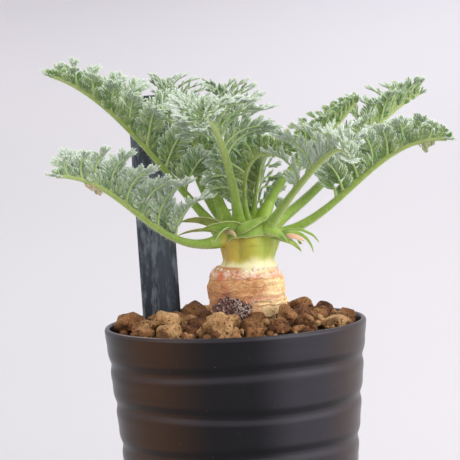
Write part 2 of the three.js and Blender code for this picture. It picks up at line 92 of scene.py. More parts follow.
# Each leaf: name, the four control points of its midrib, bare share, longest leaflet, pairs in the solid,
# taper, rise
LEAVES = [
    ("left_high", [[-3, 0, 116], [-19, 11, 132], [-39, 11, 168], [-63, 14, 174]], 0.24, 23, 7, 0.8, RISE),
    ("left_low", [[-2, -4, 115], [-25, -17, 107], [-34, -28, 141], [-57, -38, 140]], 0.28, 25, 7, 0.5, RISE),
    ("front", [[3, -4, 117], [2, -9, 137], [-5, -25, 166], [-9, -49, 153]], 0.42, 20, 7, 0.5, (64, 4)),
    ("back_left", [[0, 5, 119], [-14, 13, 128], [-16, 36, 167], [-25, 56, 166]], 0.44, 20, 6, 0.45, RISE),
    ("back", [[6, 6, 120], [4, 23, 138], [3, 40, 160], [-3, 68, 163]], 0.4, 21, 6, 0.45, RISE),
    ("front_right", [[10, -5, 115], [21, -17, 130], [38, -34, 154], [38, -58, 141]], 0.32, 20, 6, 0.6, RISE),
    ("right", [[12, 0, 115], [38, 4, 116], [51, 4, 150], [77, -1, 145]], 0.38, 22, 7, 0.65, RISE),
    ("back_right", [[14, 6, 118], [38, 22, 131], [54, 41, 155], [75, 64, 162]], 0.5, 20, 6, 0.5, RISE),
    ("right_high", [[11, 4, 120], [19, 12, 141], [35, 19, 144], [47, 22, 161]], 0.42, 15, 6, 0.6, RISE),
    ("left_inner", [[-1, 2, 119], [-6, 5, 133], [-9, 9, 151], [-24, 3, 159]], 0.46, 13, 5, 0.6, RISE),
    ("young", [[6, -2, 118], [4, -2, 131], [4, -7, 148], [19, -6, 142]], 0.3, 12, 4, 0.4, RISE),
    ("centre", [[8, 4, 118], [8, 7, 128], [11, 3, 138], [12, -3, 143]], 0.1, 13, 4, 0.3, (60, 0)),
]
SLENDER_LEAVES = ("young", "centre")
STALK_RADIUS = 2.2
SLENDER_STALK_RADIUS = 1.3
SLENDER_BASE_SHARE = 0.6
MIDRIB_TIP_RADIUS = 0.7
BASE_LENGTH = 9
BASE_FLARE = 0.9
BASAL_SHARE = 0.95
TIP_SHARE = 0.2
SPACING_POWER = 1.35
ANGLE_BASE_DEG = 82
SHINGLE_DEG = 20

# Stipules behind the crown: azimuth, length, width, rise at the root, rise at the tip, seed
STIPULES = [(12, 15, 3, 40, -60, 19), (80, 8, 8, 25, -40, 22), (150, 8, 7, 25, -30, 25)]
STIPULE_ROOT_RADIUS = 7.2
STIPULE_ROOT_Z = 113.6

LABEL_WIDTH = 13.5
LABEL_THICKNESS = 0.8
LABEL_TOP_Z = 165
LABEL_BOTTOM_Z = 45
LABEL_POINT_LENGTH = 12
LABEL_PLACE = (-23.9, 18)
LABEL_LEAN = math.radians(1.3)

SOURCE_SEED = 20117
LCG_FACTOR = 16807
LCG_MODULUS = 2147483647


def park_miller(state):
    """The random numbers of the part's source."""
    while True:
        state = state * LCG_FACTOR % LCG_MODULUS
        yield state / LCG_MODULUS


source_numbers = park_miller(SOURCE_SEED)
rng = np.random.default_rng(SOURCE_SEED)


def mix(a, b, share):
    return a + (b - a) * share


def source_draw(low, high):
    return mix(low, high, next(source_numbers))


def unit(vectors):
    return vectors / np.maximum(np.linalg.norm(vectors, axis=-1, keepdims=True), 1e-9)


def square_to(vectors, directions):
    """The part of the vectors that is square to the directions, at unit length."""
    return unit(vectors - directions * (vectors * directions).sum(axis=-1, keepdims=True))


def level_way(turn):
    """The level unit vectors that point at angles in radians."""
    return np.stack([np.cos(turn), np.sin(turn), 0 * turn], axis=-1)


def even_turns(count):
    return 2 * math.pi * np.arange(count) / count


def turned_to(direction, across, angle):
    return direction * np.cos(angle)[:, None] + across * np.sin(angle)[:, None]


def smooth_step(low, high, value):
    share = np.clip((value - low) / (high - low), 0, 1)
    return share * share * (3 - 2 * share)


def hashed(cells, seed):
    """A repeatable number from -1 to 1 for each whole-numbered cell."""
    mixed = cells[..., 0] * 73856093 ^ cells[..., 1] * 19349663 ^ cells[..., 2] * 83492791
    mixed = mixed ^ (seed * 2654435761)
    mixed = (mixed ^ (mixed >> 13)) * 1274126177
    mixed = mixed ^ (mixed >> 16)
    return (mixed & 0xFFFFFF) / 0x7FFFFF - 1.0


def noise(points, size, seed=0, octaves=3):
    """Smooth repeatable noise from about -1 to 1 at points (n, 3), in features of the given size."""
    total = np.zeros(len(points))
    weight = 1.0
    for octave in range(octaves):
        place = points * (2**octave / size)
        low = np.floor(place).astype(np.int64)
        share = place - low
        share = share * share * (3 - 2 * share)
        for corner in np.ndindex(2, 2, 2):
            near = np.where(np.array(corner) == 1, share, 1 - share).prod(axis=1)
            total += weight * near * hashed(low + np.array(corner), seed + 17 * octave)
        weight *= 0.5
    return total / (2 - 2 * weight)


def set_values(mesh, name, values):
    mesh.attributes.new(name, "FLOAT", "POINT").data.foreach_set("value", values.astype(np.float32))


class Body:
    """Gathers vertices in millimetres, with a shade and a tone for each, and their faces."""

    def __init__(self):
        self.points, self.shades, self.tones, self.faces = [], [], [], []
        self.count = 0

    def add(self, points, face_blocks, shades=0.0, tones=0.0):
        points = np.asarray(points, float).reshape(-1, 3)
        for block in face_blocks:
            self.faces += (block + self.count).tolist()
        self.points.append(points)
        self.shades.append(np.broadcast_to(shades, len(points)))
        self.tones.append(np.broadcast_to(tones, len(points)))
        self.count += len(points)

    def mesh(self, name, scale=MM):
        mesh = bpy.data.meshes.new(name)
        mesh.from_pydata((np.concatenate(self.points) * scale).tolist(), [], self.faces)
        set_values(mesh, "shade", np.concatenate(self.shades))
        set_values(mesh, "tone", np.concatenate(self.tones))
        return mesh


def new_object(name, data):
    made = bpy.data.objects.new(name, data)
    bpy.context.scene.collection.objects.link(made)
    return made


def finish_mesh(mesh, material, smooth=True):
    mesh.polygons.foreach_set("use_smooth", [smooth] * len(mesh.polygons))
    mesh.materials.clear()
    mesh.materials.append(material)
    mesh.update()
    return mesh


def place_piece(name, shape, material, replaced=None, smooth=True):
    """Makes the object for a body, or for a mesh in metres, and has it ride with the part."""
    mesh = shape.mesh(name) if isinstance(shape, Body) else shape
    piece = new_object(name, finish_mesh(mesh, material, smooth))
    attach(piece, "root")
    if replaced:
        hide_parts(replaced)


def applied(mesh, kind, **settings):
    """A copy of a mesh with one modifier applied."""
    holder = new_object("holder", mesh)
    modifier = holder.modifiers.new("applied", kind)
    for key, value in settings.items():
        setattr(modifier, key, value)
    graph = bpy.context.evaluated_depsgraph_get()
    made = bpy.data.meshes.new_from_object(holder.evaluated_get(graph))
    bpy.data.objects.remove(holder)
    return made


def ring_faces(rings, sides, closed=False):
    """Quads between rings of equally many points, ordered anticlockwise about the way along."""
    k, i = np.meshgrid(np.arange(rings if closed else rings - 1), np.arange(sides), indexing="ij")
    following = (i + 1) % sides
    above = ((k + 1) % rings) * sides
    corners = [k * sides + i, k * sides + following, above + following, above + i]
    return np.stack(corners, axis=-1).reshape(-1, 4)


def capped_faces(rings, sides):
    """The wall, start and end of a closed tube."""
    around = np.arange(sides)[None]
    return [ring_faces(rings, sides), around[:, ::-1], (rings - 1) * sides + around]


def tube(body, centres, radii, side, up, sides, shades=0.0):
    """A round tube with closed ends along the centres. side and up span its section."""
    angles = even_turns(sides) + math.pi / sides
    # side, then -up, is anticlockwise about the way along
    circle = np.cos(angles)[None, :, None] * side[:, None] - np.sin(angles)[None, :, None] * up[:, None]
    points = centres[:, None] + np.asarray(radii)[:, None, None] * circle
    shades = np.repeat(np.broadcast_to(shades, len(centres)), sides)
    body.add(points, capped_faces(len(centres), sides), shades)


def limb(body, path, radii, across, sides):
    """A tube along a path, with its section turned by one vector across it."""
    slope = unit(np.gradient(path, axis=0))
    beside = unit(np.cross(slope, across))
    tube(body, path, radii, beside, -np.cross(beside, slope), sides)


def lathe_points(radius, z, sides):
    """Rings of points about the Z axis, with a radius for each ring or for each point."""
    z = np.asarray(z, float)[:, None]
    radius = np.asarray(radius, float).reshape(len(z), -1)
    angles = even_turns(sides)
    return np.stack(np.broadcast_arrays(radius * np.cos(angles), radius * np.sin(angles), z), axis=-1)


def linear(colour):
    """A screen colour, from 0 to 255, as Blender's linear colour."""
    value = np.array(colour) / 255
    return (*np.where(value <= 0.04045, value / 12.92, ((value + 0.055) / 1.055) ** 2.4), 1.0)


class Shader:
    """A material on the Principled shader, with short calls for the nodes that drive it.

    Colours are given as they show on a screen, from 0 to 255. over() lays them on self.base."""

    def __init__(self, name, **settings):
        self.material = bpy.data.materials.new(name)
        self.material.use_nodes = True
        self.nodes = self.material.node_tree.nodes
        self.surface = self.nodes["Principled BSDF"]
        for key, value in settings.items():
            self.drive(key.replace("_", " "), value)
        self.place = self.node("TexCoord").outputs["Object"]
        self.normal = self.node("NewGeometry").outputs["Normal"]

    def put(self, socket, value):
        if isinstance(value, bpy.types.NodeSocket):
            self.material.node_tree.links.new(value, socket)
        else:
            socket.default_value = linear(value) if socket.type == "RGBA" else value

    def drive(self, socket, value):
        self.put(self.surface.inputs[socket], value)

    def node(self, kind, inputs=(), **settings):
        node = self.nodes.new("ShaderNode" + kind)
        for key, value in settings.items():
            setattr(node, key, value)
        for key, value in dict(inputs).items():
            self.put(node.inputs[key], value)
        return node

    def math(self, operation, a, b, clamp=False):
        return self.node("Math", {0: a, 1: b}, operation=operation, use_clamp=clamp).outputs[0]

    def times(self, value, *others):
        for other in others:
            value = self.math("MULTIPLY", value, other)
        return value

    def plus(self, value, *others):
        for other in others:
            value = self.math("ADD", value, other)
        return value

    def minus(self, value, other):
        return self.math("SUBTRACT", value, other)

    def stretched(self, *scale):
        """The place with its axes scaled, for streaks."""
        return self.node("VectorMath", {0: self.place, 1: scale}, operation="MULTIPLY").outputs[0]

    def distance(self, point, place=None):
        """How far the place is from a point in millimetres."""
        inputs = {0: place or self.place, 1: [value * MM for value in point]}
        return self.node("VectorMath", inputs, operation="DISTANCE").outputs["Value"]

    def noise(self, size, detail, roughness, place=None, distortion=0.0):
        inputs = {"Vector": place or self.place, "Scale": 1 / (size * MM), "Detail": detail}
        inputs.update({"Roughness": roughness, "Distortion": distortion})
        return self.node("TexNoise", inputs).outputs["Fac"]

    def cells(self, size):
        return self.node("TexVoronoi", {"Vector": self.place, "Scale": 1 / (size * MM)}).outputs["Distance"]

    def span(self, value, low, high):
        """0 at low, 1 at high, with soft ends. low may be above high."""
        inputs = {"Value": value, "From Min": low, "From Max": high}
        return self.node("MapRange", inputs, interpolation_type="SMOOTHSTEP").outputs["Result"]

    def between(self, value, start, low, high, end):
        """1 from low to high, and 0 before start and after end."""
        return self.times(self.span(value, start, low), self.span(value, end, high))

    def near(self, point, inner, outer):
        """1 within inner millimetres of a point, 0 beyond outer."""
        return self.span(self.distance(point), outer * MM, inner * MM)

    def ramp(self, value, *stops):
        node = self.node("ValToRGB", {"Fac": value})
        elements = node.color_ramp.elements
        while len(elements) < len(stops):
            elements.new(0.5)
        for element, (place, colour) in zip(elements, stops):
            element.position = place
            element.color = linear(colour)
        return node.outputs["Color"]

    def blend(self, share, a, b, kind="MIX"):
        # The colour sockets of the mix node are its inputs 6 and 7 and its output 2
        return self.node("Mix", {0: share, 6: a, 7: b}, data_type="RGBA", blend_type=kind).outputs[2]

    def over(self, share, colour, most=1.0):
        self.base = self.blend(share if most == 1 else self.times(share, most), self.base, colour)

    def axis(self, vector, letter):
        return self.node("SeparateXYZ", {0: vector}).outputs[letter]

    def attribute(self, name):
        return self.node("Attribute", attribute_name=name).outputs["Fac"]

    def done(self, height, depth, strength):
        """The material with its base colour, and bump from a height of 0 to 1 that stands for millimetres."""
        self.drive("Base Color", self.base)
        inputs = {"Strength": strength, "Distance": depth * MM, "Height": height}
        self.drive("Normal", self.node("Bump", inputs).outputs["Normal"])
        return self.material


def pot_material():
    s = Shader("pot_satin", Specular_IOR_Level=0.2)
    across = s.axis(s.place, "X")
    s.base = s.blend(s.noise(17, 3, 0.5), (12, 12, 15), (18, 17, 21))
    # Painted reflections: warm brown down one side, grey and then brown down the other
    s.over(s.between(across, -0.044, -0.032, -0.030, -0.006), (64, 42, 23), 0.85)
    s.over(s.between(across, 0.004, 0.020, 0.036, 0.044), (58, 56, 62), 0.7)
    s.over(s.span(across, 0.026, 0.038), (62, 46, 34), 0.6)
    # Painted highlight on the grooves' upward flanks and painted shade on the downward ones, then dust specks
    up = s.axis(s.normal, "Z")
    ledge = s.span(up, -0.04, 0.2)
    s.over(ledge, (76, 73, 78), 0.3)
    s.over(s.span(up, -0.14, -0.34), (5, 5, 6), 0.7)
    s.over(s.span(s.noise(1.1, 1, 0.4), 0.78, 0.84), (120, 112, 105), 0.35)
    s.drive("Roughness", s.plus(s.times(ledge, 0.05), 0.28))
    return s.done(s.noise(0.7, 2, 0.5), 0.012, 0.5)


def clay_material(name, light, middle, dark):
    s = Shader(name, Roughness=0.92, Specular_IOR_Level=0.22)
    crumbs = s.noise(0.55, 3, 0.7)
    tone = s.ramp(s.noise(5.5, 4, 0.6), (0.3, dark), (0.48, middle), (0.66, light))
    fine = s.ramp(crumbs, (0.32, (104, 80, 64)), (0.5, (210, 200, 190)), (0.68, (255, 252, 240)))
    s.base = s.blend(0.75, tone, fine, "MULTIPLY")
    pits = s.span(s.cells(1.4), 0.14, 0.34)
    s.over(s.minus(1.0, pits), (50, 34, 24), 0.6)
    return s.done(s.plus(s.times(crumbs, 0.6), s.times(pits, 0.55)), 0.5, 1.0)


# The dark rough patch at the foot of the stem, wider than it is high
PATCH_PLACE = (-1.9, -11.0, 90.2)
PATCH_SQUASH = (1, 1, 1.5)


def bark_material():
    s = Shader("bark_peeling", Roughness=0.7, Specular_IOR_Level=0.3, Subsurface_Weight=0.08,
               Subsurface_Scale=0.002)
    banded = s.stretched(0.9, 0.9, 1.35)
    grain = s.noise(3.0, 6, 0.7, banded, 0.5)
    fine = s.noise(0.9, 4, 0.65, banded)
    level = s.axis(s.place, "Z")
    across = s.axis(s.place, "X")
    tan = s.ramp(grain, (0.28, (154, 94, 62)), (0.42, (182, 124, 80)), (0.52, (200, 148, 97)),
                 (0.62, (213, 169, 117)), (0.76, (236, 206, 162)))
    cream = s.ramp(fine, (0.3, (226, 180, 118)), (0.5, (247, 214, 152)), (0.7, (255, 240, 208)))
    s.base = s.blend(s.times(s.span(across, 0.007, 0.0145), s.span(grain, 0.3, 0.5)), tan, cream)
    s.over(s.span(s.noise(5.5, 3, 0.6), 0.52, 0.64), (208, 134, 104), 0.55)
    # Crumbly low on the right, with a reddish seam above
    s.over(s.times(s.near((12.5, -8.8, 91.2), 3.5, 8.5), s.span(fine, 0.2, 0.4)), (248, 218, 164), 0.75)
    seam = s.times(s.between(level, 0.0936, 0.0944, 0.0950, 0.0960), s.near((10.5, -10.5, 94.8), 3.0, 9.0))
    s.over(seam, (192, 122, 104), 0.6)
    specks = s.noise(0.75, 4, 0.7)
    s.over(s.span(specks, 0.54, 0.66), (146, 92, 56), 0.42)
    s.over(s.span(specks, 0.44, 0.34), (250, 222, 180), 0.42)
    # The rosy band under the rim, and the white papery remains at the rim
    rosy = s.times(s.between(level, 0.1005, 0.1022, 0.1034, 0.1046), s.span(s.noise(4.5, 3, 0.6), 0.36, 0.56))
    s.over(rosy, (214, 136, 104), 0.55)
    scraps = s.span(s.noise(1.7, 4, 0.7), 0.43, 0.57)
    s.over(s.times(scraps, s.between(level, 0.1008, 0.1026, 0.1036, 0.1052)), (240, 220, 200), 0.7)
    # A red spot at its left, and pale flesh at its right
    s.over(s.near((-5.6, -8.8, 102.9), 0.8, 3.4), (205, 92, 38), 0.85)
    flesh = s.times(s.near((7.6, -9.6, 105.4), 2.6, 6.6), s.span(level, 0.1024, 0.1040))
    s.over(flesh, (240, 232, 184), 0.85)
    ruddy = s.times(s.near((-2.6, -10.8, 94.6), 1.5, 6.0), s.span(s.noise(2.2, 3, 0.6), 0.38, 0.55))
    s.over(ruddy, (164, 98, 76), 0.65)
    # Reddish skin near the gravel, and the dark rough patch
    low = s.times(s.span(level, 0.0925, 0.0885), s.span(s.noise(3, 3, 0.6), 0.3, 0.55))
    s.over(s.times(low, s.span(across, 0.012, 0.005)), (176, 104, 92), 0.7)
    centre = [a * b for a, b in zip(PATCH_PLACE, PATCH_SQUASH)]
    ragged = s.times(s.minus(s.noise(2.6, 4, 0.65), 0.5), 0.011)
    reach = s.plus(s.distance(centre, s.stretched(*PATCH_SQUASH)), ragged)
    rot = s.ramp(s.noise(0.8, 4, 0.7), (0.36, (48, 28, 26)), (0.5, (104, 70, 58)), (0.68, (206, 186, 174)))
    s.over(s.span(reach, 0.0088, 0.0068), rot)
    return s.done(s.plus(s.times(fine, 0.7), s.times(grain, 0.6)), 0.4, 0.7)


def scrap_material(name, pale, deep):
    s = Shader(name, Roughness=0.6, Specular_IOR_Level=0.3)
    s.base = s.blend(s.noise(1.1, 3, 0.6), deep, pale)
    return s.done(s.noise(0.5, 3, 0.6), 0.12, 0.6)


def crown_material():
    """shade says how deep a place lies in a groove of the neck, where painted shade darkens it."""
    s = Shader("crown_flesh_waxy", Roughness=0.42, Specular_IOR_Level=0.4, Subsurface_Weight=0.2,
               Subsurface_Radius=(1.0, 0.9, 0.3), Subsurface_Scale=0.002)
    groove = s.attribute("shade")
    fibres = s.noise(1.3, 4, 0.6, s.stretched(1.0, 1.0, 0.1))
    across = s.axis(s.place, "X")
    wander = s.times(s.minus(s.noise(4.5, 2, 0.5, s.stretched(1.0, 1.0, 0.4)), 0.5), 0.006)
    height = s.plus(s.axis(s.place, "Z"), wander)
    # From 0 at the neck's foot to 1 above the collar
    level = s.math("DIVIDE", s.minus(height, 0.104), 0.020, clamp=True)
    flesh = s.ramp(s.span(across, -0.002, 0.0125), (0.0, (197, 169, 72)), (0.25, (186, 172, 66)),
                   (0.6, (187, 180, 64)), (1.0, (172, 187, 76)))
    low = s.ramp(level, (0.0, (240, 230, 194)), (0.1, (234, 228, 174)), (0.22, (214, 208, 126)))
    s.base = s.blend(s.span(level, 0.1, 0.24), low, flesh)
    s.over(s.span(level, 0.58, 0.78), (146, 176, 62))
    s.over(s.times(s.span(across, -0.0012, -0.0050), s.span(level, 0.3, 0.42)), (150, 178, 76))
    s.over(s.span(fibres, 0.54, 0.7), (226, 222, 150), 0.2)
    s.over(s.span(fibres, 0.46, 0.32), (150, 152, 54), 0.15)
    # Painted shade: darker olive deep in the grooves between the columns
    s.over(s.times(s.span(groove, 0.3, 0.85), s.between(level, 0.12, 0.3, 0.36, 0.46)), (152, 156, 48), 0.75)
    return s.done(fibres, 0.12, 0.5)


def stipule_material():
    """shade is 1 at a flap's margin, and tone says how dry it is."""
    s = Shader("stipule_papery", Roughness=0.5, Specular_IOR_Level=0.35, Subsurface_Weight=0.12,
               Subsurface_Radius=(0.8, 1.0, 0.4), Subsurface_Scale=0.001, Sheen_Weight=0.1)
    veins = s.noise(0.7, 3, 0.6)
    s.base = s.blend(s.span(s.noise(4.0, 2, 0.5), 0.35, 0.65), (98, 138, 30), (144, 176, 62))
    s.over(veins, (176, 198, 118), 0.4)
    s.over(s.attribute("tone"), (228, 180, 150))
    s.over(s.span(s.plus(s.attribute("shade"), s.times(veins, 0.14)), 0.88, 1.08), (220, 222, 172))
    return s.done(veins, 0.12, 0.5)


def leaf_material():
    """shade is 0 to 1 along the stalk, 1 to 2 along a rib, and 2 to 3 outwards from a blade's middle.

    tone says how woolly a lobe is, with painted light for whole leaves mixed in, up to 2, and above 2 how
    withered."""
    s = Shader("leaf_woolly", Roughness=0.58, Specular_IOR_Level=0.28, Sheen_Weight=0.35, Sheen_Roughness=0.5,
               Sheen_Tint=(236, 246, 238), Subsurface_Weight=0.2, Subsurface_Radius=(0.6, 1.0, 0.3),
               Subsurface_Scale=0.0012)
    shade = s.attribute("shade")
    tone = s.attribute("tone")
    up = s.axis(s.normal, "Z")
    fine = s.noise(0.8, 2, 0.6)
    s.base = s.ramp(shade, (0.0, (164, 182, 72)), (0.08, (130, 162, 54)), (0.3, (124, 150, 58)),
                    (0.6, (138, 156, 76)), (1.0, (158, 174, 108)))
    s.over(s.span(up, -0.2, -0.95), (190, 206, 130), 0.75)
    s.over(s.span(s.noise(1.4, 3, 0.6), 0.45, 0.65), (168, 190, 96), 0.25)
    s.over(s.span(shade, 1.0, 1.5), (164, 190, 122))
    clumps = s.span(s.noise(6.0, 3, 0.6), 0.35, 0.65)
    inner = s.blend(clumps, (94, 130, 46), (150, 172, 90))
    outer = s.blend(clumps, (102, 134, 84), (154, 178, 134))
    # tone carries a lobe's reach and wool, and painted light for whole leaves
    outward_and_light = s.times(tone, s.math("LESS_THAN", tone, 2.0))
    edge = s.span(s.math("SUBTRACT", shade, 2.0, clamp=True), 0.3, 0.8)
    wool_and_light = s.plus(s.times(edge, 0.62), s.times(s.span(up, -0.5, 0.9), 0.28), s.times(s.minus(fine, 0.5), 0.5),
                  s.times(s.minus(outward_and_light, 0.4), 0.4))
    blade = s.blend(s.span(wool_and_light, 0.05, 1.0), s.blend(outward_and_light, inner, outer), (216, 228, 212))
    blade = s.blend(s.span(tone, 2.0, 3.0), blade, s.blend(fine, (136, 120, 76), (206, 192, 158)))
    s.over(s.math("GREATER_THAN", shade, 1.95), blade)
    return s.done(fine, 0.12, 0.5)


def hair_material():
    s = Shader("leaf_hair", Roughness=0.55, Specular_IOR_Level=0.3, Sheen_Weight=0.0)
    s.drive("Base Color", s.blend(s.noise(6, 2, 0.5), (214, 226, 206), (244, 248, 238)))
    return s.material


def label_material():
    s = Shader("label_slate", Specular_IOR_Level=0.4)
    cloud = s.noise(14, 3, 0.55, s.stretched(1.0, 1.0, 0.35))
    # Painted reflections: light smudges over the glossy strip
    reflection_smudges = s.span(s.noise(4.0, 4, 0.7, s.stretched(1.6, 1.0, 0.35)), 0.46, 0.66)
    s.base = s.blend(cloud, (26, 33, 43), (64, 72, 82))
    s.over(reflection_smudges, (134, 144, 154), 0.65)
    # Painted highlight: a lighter vertical streak down the strip
    s.over(s.between(s.axis(s.place, "X"), -0.0285, -0.0255, -0.0225, -0.0205), (86, 98, 110), 0.35)
    s.drive("Roughness", s.plus(s.times(cloud, 0.2), 0.32))
    return s.done(s.noise(2.4, 3, 0.5, s.stretched(1.0, 1.0, 0.2)), 0.05, 0.4)


def stage_material():
    """Pale paper, with painted light that makes it lighter up the sweep's wall and to the right."""
    s = Shader("sweep_paper", Roughness=0.9, Specular_IOR_Level=0.05)
    right = s.span(s.axis(s.place, "X"), -0.3, 0.3)
    floor = s.blend(right, (194, 193, 195), (209, 207, 210))
    wall = s.blend(right, (221, 219, 222), (235, 233, 237))
    s.drive("Base Color", s.blend(s.span(s.axis(s.place, "Z"), 0.05, 0.28), floor, wall))
    return s.material


# The turned wall: broad grooves at an even spacing, in a wall that stands a little proud of the cone
GROOVE_DIP = 0.7
GROOVE_SPREAD = 2.0
BELLY_PROUD = 0.2
# Fainter rings between them: height, depth, spread
FAINT_RINGS = [(80.4, 0.1, 1.3), (67.2, 0.12, 1.8), (54.6, 0.1, 1.2), (52.2, 0.13, 1.6), (39.5, 0.12, 1.4),
               (25.8, 0.12, 1.8), (12.0, 0.1, 1.3), (7.0, 0.12, 1.4)]
POT_SIDES = 144
POT_STEP = 0.6
DRAIN_SIDES = 32


def pot_radius(z):
    return mix(POT_FOOT_RADIUS, POT_TOP_RADIUS, np.asarray(z, float) / POT_HEIGHT)


def inner_radius(z):
    return pot_radius(z) - POT_WALL


def wall_radius(z):
    """The outside of the turned wall at a height, at each of its sides."""
    angle = even_turns(POT_SIDES)
    sway = 0.5 * np.sin(2 * angle + 0.6) + 0.25 * np.sin(3 * angle + 2.0)
    dips = [(TOP_GROOVE_Z - k * GROOVE_SPACING + sway * (1 if k % 2 else -0.7), GROOVE_DIP, GROOVE_SPREAD)
            for k in range(GROOVE_COUNT)]
    dips += [(level - sway, depth, spread) for level, depth, spread in FAINT_RINGS]
    radius = pot_radius(z) + BELLY_PROUD
    for level, depth, spread in dips:
        radius = radius - depth * np.exp(-(((z - level) / spread) ** 2))
    return radius


def make_pot():
    ring_inner = POT_FOOT_RADIUS - FOOT_RING_WIDTH
    floor_top = FOOT_LIFT + FLOOR_THICKNESS
    lip = 0.5 * POT_WALL
    # Each ring's radius and height, from the middle of the foot, up the outside and down the inside
    rings = [
        (FOOT_BOSS_RADIUS - 0.2, 0.0), (FOOT_BOSS_RADIUS + 0.4, 0.3), (FOOT_BOSS_RADIUS + 1, FOOT_LIFT),
        (15, FOOT_LIFT), (ring_inner - 1.2, FOOT_LIFT), (ring_inner - 0.5, FOOT_LIFT - 0.5),
        (ring_inner, 0.2), (ring_inner + 0.4, 0.0), (POT_FOOT_RADIUS - 0.9, 0.0),
        (wall_radius(0.35) - 0.35, 0.35),
    ]
    rings += [(wall_radius(z), z) for z in np.arange(1.0, POT_HEIGHT - lip, POT_STEP)]
    for turn in np.linspace(0, math.pi, 9):
        rings.append((POT_TOP_RADIUS - lip + lip * math.cos(turn), POT_HEIGHT - lip + lip * math.sin(turn)))
    rings += [(inner_radius(z), z) for z in (POT_HEIGHT - 2.5, 70, 40, 15, floor_top + 1)]
    rings += [(inner_radius(floor_top) - 1, floor_top), (12, floor_top)]
    radii = np.stack([np.broadcast_to(radius, POT_SIDES) for radius, _ in rings])
    points = lathe_points(radii, [z for _, z in rings], POT_SIDES).reshape(-1, 3)
    count = len(points)
    around = np.arange(POT_SIDES)
    following = (around + 1) % POT_SIDES
    last = count - POT_SIDES
    foot = np.stack([following, around, 0 * around + count], axis=-1)
    floor = np.stack([last + around, last + following, 0 * around + count + 1], axis=-1)
    body = Body()
    body.add(np.concatenate([points, [[0, 0, 0], [0, 0, floor_top]]]),
             [ring_faces(len(rings), POT_SIDES), foot, floor])
    cutters = Body()
    for turn in even_turns(DRAIN_COUNT) + math.pi / DRAIN_COUNT:
        centres = DRAIN_CIRCLE_RADIUS * level_way(turn) + np.outer([-floor_top, 2.5 * floor_top], UP)
        tube(cutters, centres, [DRAIN_RADIUS] * 2, np.eye(3)[[0, 0]], -np.eye(3)[[1, 1]], DRAIN_SIDES)
    holes = new_object("drain_cutters", cutters.mesh("drain_cutters", 1.0))
    mesh = body.mesh("pot_turned", 1.0)
    mesh = applied(mesh, "BOOLEAN", object=holes, operation="DIFFERENCE", solver="EXACT")
    bpy.data.objects.remove(holes)
    mesh.transform(Matrix.Scale(MM, 4))
    place_piece("pot_turned", mesh, pot_material(), "pot")


# The corners of the part's box grains, in the order in which its source draws their sizes
BOX_CORNERS = np.array([[1, 1, 1], [1, 1, -1], [1, -1, 1], [1, -1, -1], [-1, 1, -1], [-1, 1, 1], [-1, -1, -1],
                        [-1, -1, 1]])
ICOSAHEDRON_CORNERS = 12
GRAIN_BLOCK_POWER = 4.2
GRAIN_ROUND_POWER = 3.0
# Flat faces broken off each grain, and how far from its middle, in its radii
CHIP_COUNT = 10
CHIP_LEVELS = (0.62, 0.9)
GRAIN_SWELL = 1.06
# Subdivisions of the balls that grains and crumbs start from
GRAIN_LEVEL = 4
CRUMB_LEVEL = 2
CRUMB_COUNT = 430
CRUMB_RADIUS = 41.5
# How near to the plant's axis they may lie
GRAIN_NEAREST = 11
CRUMB_NEAREST = 11.8
# How often each clay tone comes up
GRAIN_ODDS = (0.2, 0.45, 0.35)
CRUMB_ODDS = (0.3, 0.4, 0.3)
FILL_SIDES = 120
CLAY_TONES = {
    "gravel_tan": ((220, 182, 134), (188, 148, 102), (126, 90, 58)),
    "gravel_brown": ((186, 142, 98), (148, 106, 70), (94, 64, 42)),
    "gravel_dark": ((148, 104, 70), (112, 76, 52), (66, 44, 32)),
    "gravel_fill": ((96, 68, 46), (70, 49, 34), (42, 30, 22)),
}


def plant_distance(x, y):
    return math.hypot(x - PLANT_X, y)


def grain_places():
    """Where the part's grains lie, with the same random numbers: x, y, z, radius, tone or None."""
    places = list(LARGE_GRAINS)
    for i in range(GRAIN_SPIRAL_COUNT):
        reach = GRAIN_SPIRAL_RADIUS * math.sqrt((i + 0.5) / GRAIN_SPIRAL_COUNT)
        angle = i * GOLDEN_ANGLE
        radius = source_draw(GRAIN_SIZE_MIN, GRAIN_SIZE_MAX) / 2
        x = reach * math.cos(angle) + source_draw(-1, 1)
        y = reach * math.sin(angle) + source_draw(-1, 1)
        heap = GRAIN_HEAP * (1 - (reach / GRAIN_SPIRAL_RADIUS) ** 2)
        z = SOIL_TOP_Z + 0.6 + heap + source_draw(-0.4, 0.9)
        crowded = any(math.hypot(x - lx, y - ly) < 0.7 * (r + radius) for lx, ly, _, r, _ in LARGE_GRAINS)
        if not crowded and plant_distance(x, y) > GRAIN_NEAREST:
            places.append((x, y, z, radius, None))
    kept = []
    for x, y, z, radius, tone in places:
        most = inner_radius(SOIL_TOP_Z) - CLEARANCE - 0.4 - 1.06 * radius
        pull = min(1, most / max(math.hypot(x, y), 1e-6))
        kept.append((x * pull, y * pull, z, radius, tone))
    return kept


def unit_ball(level):
    ball = bpy.data.meshes.new("ball")
    work = bmesh.new()
    bmesh.ops.create_icosphere(work, subdivisions=level, radius=1.0)
    work.to_mesh(ball)
    work.free()
    points = np.array([v.co[:] for v in ball.vertices])
    faces = np.array([p.vertices[:] for p in ball.polygons])
    bpy.data.meshes.remove(ball)
    return unit(points), faces


